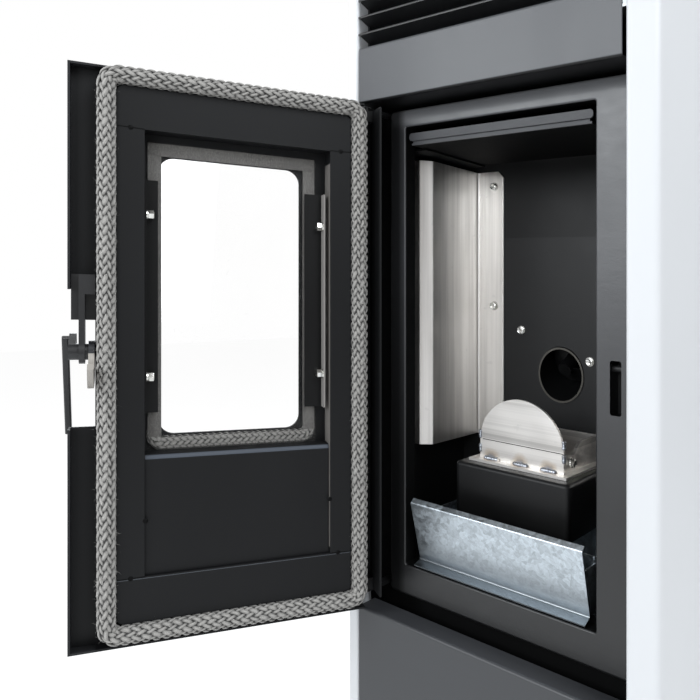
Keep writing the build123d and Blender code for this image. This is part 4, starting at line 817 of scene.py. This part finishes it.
class STOVE_PG_finish(bpy.types.PropertyGroup):
    """Colours of the stove's finishes."""

    casing: bpy.props.FloatVectorProperty(
        name="Casing",
        description="Powder coat of the side panels",
        default=(0.58, 0.59, 0.608),
        subtype="COLOR",
    )
    fascia: bpy.props.FloatVectorProperty(
        name="Fascia",
        description="Paint of the panel above the door",
        default=(0.046, 0.048, 0.053),
        subtype="COLOR",
    )
    door: bpy.props.FloatVectorProperty(
        name="Door",
        description="Paint of the fire door",
        default=(0.0066, 0.0068, 0.0074),
        subtype="COLOR",
    )
    stove: bpy.props.FloatVectorProperty(
        name="Stove black",
        description="Heat-proof paint of the firebox",
        default=(0.0085, 0.0087, 0.0094),
        subtype="COLOR",
    )
    rope: bpy.props.FloatVectorProperty(
        name="Rope",
        description="Light side of the rope's yarn",
        default=(0.40, 0.386, 0.366),
        subtype="COLOR",
    )


class STOVE_PG_studio(bpy.types.PropertyGroup):
    """Camera and lights."""

    camera: bpy.props.FloatVectorProperty(
        name="Camera",
        description="Place of the camera",
        default=(0.3652, -0.7502, 0.6987),
        subtype="TRANSLATION",
    )
    heading: bpy.props.FloatProperty(
        name="Heading",
        description="Turn of the camera to the left of straight on",
        default=math.radians(38.074),
        subtype="ANGLE",
    )
    lens: bpy.props.FloatProperty(
        name="Lens", description="Focal length on a 36 mm sensor", default=35.285, unit="CAMERA"
    )
    shift: bpy.props.FloatVectorProperty(
        name="Shift",
        description="Shift of the picture to the right and up",
        default=(-0.1056, -0.0930),
        size=2,
    )
    lean: bpy.props.FloatProperty(
        name="Lean", description="Fall of level lines across the picture", default=0.037
    )
    sky: bpy.props.FloatProperty(
        name="Sky", description="Strength of the even light all round", default=0.4
    )
    mirrored: bpy.props.FloatProperty(
        name="Mirrored", description="Share of the white room that glossy faces mirror", default=0.22
    )
    key: bpy.props.FloatProperty(
        name="Key", description="Power of the key light", default=45.0, unit="POWER"
    )


# ------------------------------------------------------------------ pieces
class STOVE_OT_rope(bpy.types.Operator):
    """Braids the rope gasket of the door"""

    bl_idname = "stove.rope"
    bl_label = "Rope gasket"

    def execute(self, context):
        settings = context.scene.stove_rope
        light = context.scene.stove_finish.rope
        low, high = closed_box("door_gasket")
        radius = settings.diameter / 2
        half_yarn = settings.yarn_width / 2
        route = (low.x + radius, high.x - radius, low.z + radius, high.z - radius, settings.corner)
        depth_y = (low.y + high.y) / 2
        material = glass_yarn("rope_yarn", light, shade(light, 0.62))
        braid(
            "rope_strands", (3, 5), material, "door", "rope_fibre", "door_gasket",
            route=route, place=DOOR_OPEN, depth_y=depth_y, half_wide=radius, half_deep=radius,
            strands=settings.strands, pitch=settings.pitch, size=(half_yarn, half_yarn * YARN_FLATNESS),
            full=-1.0,
        )
        core = core_mesh(route, depth_y, radius - settings.yarn_width * CORE_DEPTH)
        # The heart is painted near black, as painted shade between the strands.
        piece("rope_core", core, fibre("rope_heart", shade(light, 0.12)), "door")
        counts = (settings.filaments, settings.filament_length)
        fuzz = fuzz_mesh("rope_fuzz", route, depth_y, radius, *counts, 11)
        piece("rope_fuzz", fuzz, fibre("rope_filament", shade(light, 1.6)), "door")
        return {"FINISHED"}


class STOVE_OT_seals(bpy.types.Operator):
    """Braids the flat seals of the door's glass and of the hopper lid"""

    bl_idname = "stove.seals"
    bl_label = "Flat seals"

    def execute(self, context):
        material = glass_yarn("seal_yarn", (0.30, 0.29, 0.275), (0.16, 0.155, 0.145))
        self.glass_seal(material)
        self.lid_seal(material)
        return {"FINISHED"}

    def glass_seal(self, material):
        """A braided lower run, and flat tape on the glass's other three sides."""
        low, high = closed_box("door_glass")
        seal = closed_box("glass_seal")
        half, gap = 6.1 * MM, 0.3 * MM
        edge, wide = half + gap, 2 * half
        depth = (seal[0].y + seal[1].y) / 2
        braid(
            "glass_seal_strands", (13, 17), material, "door", "seal_tape", "glass_seal",
            route=(low.x + edge, high.x - edge, low.z + edge, high.z - edge, 7.0 * MM),
            place=DOOR_OPEN, depth_y=depth, half_wide=half, half_deep=0.95 * MM,
            strands=8, pitch=half * SPREAD, size=(half * 0.3, 0.32 * MM), top=low.z + 3 * half,
        )
        left, right, bottom, top = low.x + gap, high.x - gap, low.z + gap + wide, high.z - gap
        strips = (
            (left, right, top - wide, top),
            (left, left + wide, bottom, top - wide),
            (right - wide, right, bottom, top - wide),
        )
        bm = bmesh.new()
        thick = 1.05 * MM
        for x0, x1, z0, z1 in strips:
            cuboid(bm, (x0, depth - thick, z0), (x1, depth + thick, z1), 0.3 * MM, 2, DOOR_OPEN)
        piece("glass_seal_tape", bm, woven_tape("seal_weave", (0.105, 0.10, 0.095)), "door")

    def lid_seal(self, material):
        low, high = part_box("lid_seal")
        half = 2.1 * MM
        braid(
            "lid_seal_strands", (19, 23), material, "lid", "seal_tape", "lid_seal",
            route=(low.x + half, high.x - half, low.y + half, high.y - half, 9.0 * MM),
            place=Matrix.Rotation(-math.pi / 2, 4, "X"), depth_y=-(low.z + high.z) / 2,
            half_wide=half, half_deep=0.9 * MM, strands=6, pitch=half * SPREAD, size=(half * 0.4, 0.32 * MM),
        )


FIREBOX_SCREW = {"radius": 4.4 * MM, "height": 3.0 * MM, "washer": 5.6 * MM, "seed": 23}
CLIP_SCREW = {"radius": 4.4 * MM, "height": 4.9 * MM, "washer": 4.6 * MM, "seed": 29}
POT_SCREW = {"radius": 4.2 * MM, "height": 2.8 * MM, "washer": 5.2 * MM, "seed": 31}
CLIP_SCREW_SEAT = 3.5 * MM      # outward from the middle of the solid screw
# The pot's screw, from the firebox's front and the pot's foot.
POT_SCREW_X, POT_SCREW_DEPTH, POT_SCREW_HEIGHT = 50.1 * MM, 74.2 * MM, 47.0 * MM


class STOVE_OT_screws(bpy.types.Operator):
    """Adds the screws of the firebox, the glass clips and the burn pot"""

    bl_idname = "stove.screws"
    bl_label = "Screws"

    def execute(self, context):
        zinc = metal("zinc_screw", (0.72, 0.72, 0.70), 0.22, 900.0, 0.02 * MM, (0.52, 0.50, 0.45))
        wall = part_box("firebox_screws")[1].y
        spots = [Vector((middle.x, wall, middle.z)) for middle in islands(NODES["firebox_screws"].data)]
        bm = screw_heads(spots, [(0.0, -1.0, 0.0)] * len(spots), **FIREBOX_SCREW)
        piece("firebox_screw_heads", bm, zinc, "casing", ("firebox_screws",))
        # The clips' screws point across the window, their heads towards its middle.
        spots, normals = [], []
        for middle in islands(NODES["clip_screws"].data):
            closed = DOOR_OPEN.inverted() @ middle
            side = Vector((math.copysign(1.0, closed.x), 0.0, 0.0))
            spots.append(DOOR_OPEN @ (closed + side * CLIP_SCREW_SEAT))
            normals.append(DOOR_OPEN.to_3x3() @ -side)
        bm = screw_heads(spots, normals, **CLIP_SCREW)
        piece("clip_screw_heads", bm, zinc, "door", ("clip_screws",))
        front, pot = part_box("firebox_front")[0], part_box("burn_pot")[0]
        spot = Vector((POT_SCREW_X, front.y + POT_SCREW_DEPTH, pot.z + POT_SCREW_HEIGHT))
        bm = screw_heads([spot], [(1.0, 0.0, 0.0)], **POT_SCREW)
        piece("pot_screw_head", bm, zinc, "burn_pot")
        return {"FINISHED"}


POT_FRONT = -119.8 * MM
POT_WELDS = [(x * MM, POT_FRONT, 513.4 * MM) for x in (-35.5, 0.4, 33.1)]
POT_SIDE_WELDS = [(x * MM, z * MM) for x, z in ((-50.0, 535.0), (-50.0, 520.0), (50.0, 539.0), (50.0, 525.0))]
# The band of the pot's bend that is painted darker, as painted shade.
POT_BEND = (Z, 534.5 * MM, 540 * MM)


class STOVE_OT_welds(bpy.types.Operator):
    """Adds the welds and the joint of the burn pot and the lip of the fuel chute"""

    bl_idname = "stove.welds"
    bl_label = "Welds"

    def execute(self, context):
        bm = bmesh.new()
        reach = Vector((6.5 * MM, 0.0, 0.0))
        for index, spot in enumerate(POT_WELDS):
            middle = Vector(spot) + Vector((0.0, -0.6 * MM, 0.2 * MM))
            bead(bm, middle - reach, middle + reach, 5.2 * MM, (0, -0.7, 0.7), 7, index)
        for index, (x, z) in enumerate(POT_SIDE_WELDS):
            low = Vector((x, POT_FRONT + 0.6 * MM, z))
            high = low + Vector((0.0, 0.0, 6 * MM))
            normal = (math.copysign(0.7, x), -0.7, 0)
            bead(bm, low, high, 4.8 * MM, normal, 5, 40 + index)
        piece("pot_welds", bm, weld_metal("tack_weld", (0.46, 0.49, 0.54)), "burn_pot")
        bm = bmesh.new()
        low = (-46.6 * MM, POT_FRONT - 0.12 * MM, 532.7 * MM)
        high = (49.3 * MM, POT_FRONT + 0.1 * MM, 533.5 * MM)
        cuboid(bm, low, high)
        piece("pot_joint", bm, metal("joint_shadow", (0.05, 0.048, 0.045), 0.6), "burn_pot")
        self.chute_lip()
        return {"FINISHED"}

    def chute_lip(self):
        """The cut end of the fuel chute, laid on the chute's own end."""
        bm = bmesh.new()
        bm.from_mesh(NODES["fuel_tube"].data)
        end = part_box("fuel_tube")[0].y + 0.05 * MM
        inner = [face for face in bm.faces if max(vert.co.y for vert in face.verts) > end]
        bmesh.ops.delete(bm, geom=inner, context="FACES")
        bmesh.ops.translate(bm, verts=bm.verts, vec=(0.0, -0.1 * MM, 0.0))
        piece("chute_lip", bm, metal("cut_edge", (0.11, 0.105, 0.095), 0.55), "casing")


# The sides of the recess in the closed door's inner frame, the heights of the seams at the
# recess and at the rope, and the weld spots beside the recess.
RECESS_LEFT, RECESS_RIGHT = -94.3 * MM, 82.6 * MM
SEAM_TOP, SEAM_BOTTOM = (833.2 * MM, 834.0 * MM), (419.0 * MM, 418.5 * MM)
LOWER_SPOTS = ((82.0 * MM, 470.5 * MM), (-93.8 * MM, 474.8 * MM))


class STOVE_OT_seams(bpy.types.Operator):
    """Adds the seams of the door's inner frame and their weld spots"""

    bl_idname = "stove.seams"
    bl_label = "Door seams"

    def execute(self, context):
        dark = shade(context.scene.stove_finish.door, 0.15)
        rope = closed_box("door_gasket")
        left = rope[0].x + context.scene.stove_rope.diameter
        right = rope[1].x - context.scene.stove_rope.diameter
        face = closed_box("door_inner_frame")[1].y
        lines = (
            (right, SEAM_TOP[1], RECESS_RIGHT, SEAM_TOP[0], 0.49),
            (RECESS_LEFT, SEAM_TOP[0], left, SEAM_TOP[1], 0.51),
            (right, SEAM_BOTTOM[1], RECESS_RIGHT, SEAM_BOTTOM[0], 0.49),
            (RECESS_LEFT, SEAM_BOTTOM[0], left, SEAM_BOTTOM[1], 0.37),
        )
        bm = bmesh.new()
        for x0, z0, x1, z1, share in lines:
            start, end = Vector((x0, face, z0)), Vector((x1, face, z1))
            strip = bmesh.ops.create_cube(bm, size=1.0)["verts"]
            size = Matrix.Diagonal(((end - start).length, 0.3 * MM, 1.0 * MM, 1.0))
            turn = Matrix.Rotation(math.atan2(z0 - z1, x1 - x0), 4, "Y")
            bmesh.ops.transform(bm, matrix=Matrix.Translation((start + end) / 2) @ turn @ size, verts=strip)
            self.spot(bm, start.lerp(end, share))
        for x, z in LOWER_SPOTS:
            self.spot(bm, Vector((x, face, z)))
        bmesh.ops.transform(bm, matrix=DOOR_OPEN, verts=bm.verts)
        piece("door_seams", bm, satin_paint("seam_paint", dark, 0.5, 0.1), "door")
        # A thin light strip along the folded edge below the lower seams: a painted highlight where the edge
        # catches the light.
        bm = bmesh.new()
        low = (left, face - 0.05 * MM, 417.25 * MM)
        high = (right, face + 0.1 * MM, 417.95 * MM)
        cuboid(bm, low, high, 0.05 * MM, 1, DOOR_OPEN)
        edge = satin_paint("edge_highlight_paint", (0.028, 0.033, 0.041), 0.35, 0.6)
        piece("door_edge_highlight", bm, edge, "door")
        return {"FINISHED"}

    def spot(self, bm, place):
        drop = bmesh.ops.create_uvsphere(bm, u_segments=16, v_segments=10, radius=1.0)["verts"]
        size = Matrix.Diagonal((2.3 * MM, 0.7 * MM, 2.3 * MM, 1.0))
        bmesh.ops.transform(bm, matrix=Matrix.Translation(place) @ size, verts=drop)


# What catches the light or lies in shade, as bands of x, y and z.
FASCIA_UNDERSIDE = ((Z, 0.0, 893.5 * MM),)
# The next four are on the closed door.
RECESS_WALL = ((X, -94.9 * MM, -93.8 * MM), (Y, -207 * MM, -187.5 * MM), (Z, 425 * MM, 820 * MM))
SILL = ((X, -94 * MM, 82 * MM), (Y, -207 * MM, -187.2 * MM), (Z, 526.5 * MM, 530 * MM))
LATCH_STRIP = ((X, 124 * MM, FAR), (Y, -207 * MM, 0.0))
CLIP_LEG = ((X, -FAR, -88.3 * MM),)
HOOK_TIP = ((Z, 0.0, 626 * MM),)


class STOVE_OT_finishes(bpy.types.Operator):
    """Gives every carried-over solid its finish"""

    bl_idname = "stove.finishes"
    bl_label = "Finishes"

    def execute(self, context):
        groups = {**self.paints(context.scene.stove_finish), **self.metals(), **self.others()}
        for material, names in groups.items():
            for name in names:
                mesh = NODES[name].data
                mesh.materials.clear()
                mesh.materials.append(material)
        return {"FINISHED"}

    def paints(self, tint):
        black = stove_paint("firebox_black", shade(tint.stove, 0.8), gloss=0.35)
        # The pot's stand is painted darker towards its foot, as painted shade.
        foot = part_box("pot_support")[0].z + 12 * MM
        stand = stove_paint("stand_black", tint.stove, roughness=0.4, gloss=0.25, foot=foot)
        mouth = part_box("firebox_front")[0].y + 1.2 * MM
        frame_black = two_sided_paint("frame_black", tint.stove, mouth, -119 * MM, 880 * MM, 0.62)
        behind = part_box("baffle_plate")[0].y + 4 * MM
        deflector = two_sided_paint("baffle_black", tint.stove, behind, gloss=0.2)
        soot = stove_paint("soot_black", shade(tint.stove, 0.6), dust=0.2, gloss=0.3)
        trim = stove_paint("trim_black", shade(tint.stove, 0.35), 700.0, 0.04 * MM, 0.42, 0.05, 0.2)
        cover = stove_paint("cover_black", shade(tint.stove, 1.2), 900.0, 0.03 * MM, 0.4, 0.1)
        handle = stove_paint("handle_black", (0.012, 0.012, 0.013), 900.0, 0.03 * MM, 0.34, 0.05)
        # Painted shade under the fascia; painted highlights on the door's recess wall, sill and latch strip,
        # and on the clip's leg.
        under = ((FASCIA_UNDERSIDE, shade(tint.fascia, 0.06)),)
        fascia = satin_paint("fascia_grey", shade(tint.fascia, 1.2), 0.38, 0.42, under)
        panel = satin_paint("front_panel_grey", shade(tint.fascia, 0.75), 0.42)
        lit = (
            (RECESS_WALL, (0.15, 0.14, 0.132)),
            (SILL, (0.06, 0.069, 0.085)),
            (LATCH_STRIP, (0.017, 0.0175, 0.019)),
        )
        door = satin_paint("door_anthracite", tint.door, 0.5, 0.17, lit, on_door=True)
        leg = ((CLIP_LEG, (0.22, 0.208, 0.198)),)
        clip = satin_paint("clip_black", shade(tint.door, 0.35), 0.42, 0.2, leg, on_door=True)
        tip = ((HOOK_TIP, (0.30, 0.28, 0.255)),)
        hook = satin_paint("hook_paint", (0.010, 0.011, 0.014), 0.35, 0.5, tip)
        return {
            powder_coat("casing_white", tint.casing): ("side_panel_left", "side_panel_right"),
            cover: ("top_cover", "base_plinth", "hopper_lid", "lid_hinges", "louvre_grille"),
            fascia: ("fascia_panel",),
            panel: ("lower_front_panel",),
            door: ("door_shell", "door_inner_frame", "door_lower_panel"),
            black: ("back_plate", "latch_keeper", "hinge_brackets", "smoke_ducts", "flue_outlet"),
            frame_black: ("firebox_front",),
            deflector: ("baffle_plate", "baffle_rails"),
            soot: ("firebox_shell",),
            trim: ("auger_screw", "fuel_tube"),
            clip: ("glass_clip_hinge_side", "glass_clip_latch_side"),
            hook: ("latch_hook",),
            stand: ("pot_support",),
            handle: ("handle_bar", "handle_bracket"),
        }

    def metals(self):
        along_x = (0.02, 1.0, 1.0)
        liner = stainless("liner_stainless", (0.93, 0.91, 0.885), (0.88, 0.85, 0.82), 0.4)
        pot_colours = (0.79, 0.77, 0.75), (0.73, 0.70, 0.67)
        pot = stainless("pot_stainless", *pot_colours, 0.42, along_x, POT_WELDS, POT_BEND)
        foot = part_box("ash_apron")[0].z + 6 * MM
        zinc = galvanised("drawer_zinc", (0.56, 0.615, 0.66), 210.0, foot=foot)
        duct = galvanised("duct_zinc", (0.55, 0.58, 0.60), 60.0, 0.42)
        plated = metal("zinc_plate", (0.70, 0.70, 0.68), 0.26)
        cast = metal("die_cast", (0.52, 0.53, 0.54), 0.45, 300.0, 0.05 * MM)
        fans = ("room_fan_housing", "room_fan_drum", "smoke_fan_housing", "smoke_fan_wheel")
        return {
            liner: ("liner_left", "liner_right"),
            pot: ("burn_pot",),
            zinc: ("ash_apron", "ash_pan"),
            duct: ("rear_panel", "hopper", "air_inlet", "heat_exchanger", *fans),
            plated: ("levelling_screws", "firebox_screws", "clip_screws"),
            cast: ("auger_gearmotor", "smoke_fan_motor", "room_fan_motor"),
        }

    def others(self):
        buttons = ("button_less", "button_power", "button_more")
        return {
            fibre("seal_core", (0.20, 0.19, 0.17)): ("lid_seal", "glass_seal", "door_gasket"),
            fire_glass("fire_glass"): ("door_glass",),
            moulded("black_mould", (0.018, 0.018, 0.02)): ("mains_inlet", "rocker_switch"),
            dead_screen("smoked_display"): ("display_panel",),
            moulded("button_grey", (0.30, 0.31, 0.32), 0.4): buttons,
            moulded("board_green", (0.03, 0.12, 0.06), 0.4, 300.0): ("control_board",),
            moulded("igniter_ceramic", (0.60, 0.58, 0.53), 0.7, 500.0): ("igniter",),
        }


# ------------------------------------------------------------------ stage
# Name, place, target, width and height in metres, and power over that of the key light.
LAMPS = (
    ("key_light", (-0.9, -2.35, 1.6), (0.0, -0.1, 0.75), 1.6, 1.2, 1.0),
    ("right_fill", (2.0, -0.3, 2.5), (0.1, 0.0, 0.6), 1.6, 1.6, 1.5),
    ("front_fill", (0.45, -1.7, 1.05), (0.0, 0.0, 0.6), 0.5, 0.4, 0.15),
    ("rim_light", (-2.2, 0.3, 1.3), (-0.35, -0.45, 0.7), 1.2, 1.6, 0.6),
)
LAMP_COLOUR = (0.93, 0.97, 1.0)
WHITE = (1.0, 1.0, 1.0, 1.0)
FLOOR_HALF_WIDTH = 6.0
FLOOR_Z = -0.6 * MM             # below the feet, which would else share its plane
FLOOR_GREY = (0.82, 0.82, 0.82, 1.0)
FLOOR_GLOW = 1.22               # strength of the white seen by the camera
FLOOR_GLOW_SHARE = 0.72         # and its share over the grey that takes shadows


class STOVE_OT_stage(bpy.types.Operator):
    """Sets the floor, the white surroundings, the lights and the camera"""

    bl_idname = "stove.stage"
    bl_label = "Stage"

    def execute(self, context):
        scene = context.scene
        studio = scene.stove_studio
        scene.view_settings.view_transform = "Standard"
        self.surroundings(scene, studio)
        self.floor()
        for lamp in LAMPS:
            self.lamp(studio.key, *lamp)
        self.camera(scene, studio)
        return {"FINISHED"}

    def surroundings(self, scene, studio):
        """White to the camera and through glass, dimmer in mirrors and as light."""
        scene.world = scene.world or bpy.data.worlds.new("World")
        room = Finish("World", scene.world, "ShaderNodeOutputWorld")
        seen = room.ray("Is Camera Ray").larger(room.ray("Is Transmission Ray"))
        share = room.ray("Is Glossy Ray") * studio.mirrored + seen
        strength = room.level(share, 0.0, 1.0, studio.sky, 1.0)
        room.close(room.add("ShaderNodeBackground", {}, {"Color": WHITE, "Strength": strength}))

    def floor(self):
        bm = bmesh.new()
        bmesh.ops.create_grid(bm, x_segments=1, y_segments=1, size=FLOOR_HALF_WIDTH)
        bmesh.ops.translate(bm, verts=bm.verts, vec=(0.0, 0.0, FLOOR_Z))
        floor = added("studio_floor", bm)
        finish = Finish("studio_floor")
        pale = finish.add("ShaderNodeBsdfDiffuse", {}, {"Color": FLOOR_GREY})
        glow = finish.add("ShaderNodeEmission", {}, {"Color": WHITE, "Strength": FLOOR_GLOW})
        seen = finish.ray("Is Camera Ray").larger(finish.ray("Is Transmission Ray"))
        shader = finish.blend(seen * FLOOR_GLOW_SHARE, pale, glow)
        floor.data.materials.append(finish.close(shader))

    def lamp(self, key, name, place, target, width, height, share):
        light = bpy.data.lights.new(name, "AREA")
        light.shape = "RECTANGLE"
        light.size = width
        light.size_y = height
        light.energy = key * share
        light.color = LAMP_COLOUR
        lamp = added(name, light)
        aim = (Vector(target) - Vector(place)).to_track_quat("-Z", "Y")
        lamp.matrix_world = Matrix.Translation(place) @ aim.to_matrix().to_4x4()

    def camera(self, scene, studio):
        camera = bpy.data.cameras.new("photo_camera")
        camera.sensor_width = 36.0
        camera.lens = studio.lens
        camera.shift_x, camera.shift_y = studio.shift
        camera.clip_start = 0.02
        camera.clip_end = 50.0
        made = added("photo_camera", camera)
        mount = added("camera_mount", None)
        made.location = studio.camera
        made.rotation_euler = (math.pi / 2, 0.0, studio.heading)
        # The picture's level lines lean a little while its uprights stay upright.
        lean = Matrix.Identity(4)
        lean[1][0] = studio.lean
        place = Matrix.Translation(made.location) @ made.rotation_euler.to_matrix().to_4x4()
        made.parent = mount
        made.matrix_parent_inverse = place @ lean @ place.inverted()
        scene.camera = made


class STOVE_PT_panel(bpy.types.Panel):
    """Lists the stove's settings and steps"""

    bl_idname = "STOVE_PT_panel"
    bl_label = "Pellet Stove"
    bl_space_type = "VIEW_3D"
    bl_region_type = "UI"
    bl_category = "Stove"

    def draw(self, context):
        layout = self.layout
        scene = context.scene
        for group in (scene.stove_rope, scene.stove_finish, scene.stove_studio):
            box = layout.box()
            for key in group.bl_rna.properties.keys():
                if key not in ("rna_type", "name"):
                    box.prop(group, key)
        for step in STEPS:
            layout.operator(step.bl_idname)


SETTINGS = {
    "stove_rope": STOVE_PG_rope,
    "stove_finish": STOVE_PG_finish,
    "stove_studio": STOVE_PG_studio,
}
STEPS = (
    STOVE_OT_stage,
    STOVE_OT_finishes,
    STOVE_OT_rope,
    STOVE_OT_seals,
    STOVE_OT_screws,
    STOVE_OT_welds,
    STOVE_OT_seams,
)


def register():
    for item in (*SETTINGS.values(), *STEPS, STOVE_PT_panel):
        bpy.utils.register_class(item)
    for name, group in SETTINGS.items():
        setattr(bpy.types.Scene, name, bpy.props.PointerProperty(type=group))


def unregister():
    for name in SETTINGS:
        delattr(bpy.types.Scene, name)
    for item in reversed((*SETTINGS.values(), *STEPS, STOVE_PT_panel)):
        bpy.utils.unregister_class(item)


def main():
    register()
    bpy.ops.stove.stage()
    bpy.ops.stove.finishes()
    bpy.ops.stove.rope()
    bpy.ops.stove.seals()
    bpy.ops.stove.screws()
    bpy.ops.stove.welds()
    bpy.ops.stove.seams()


if __name__ == "__main__":
    main()
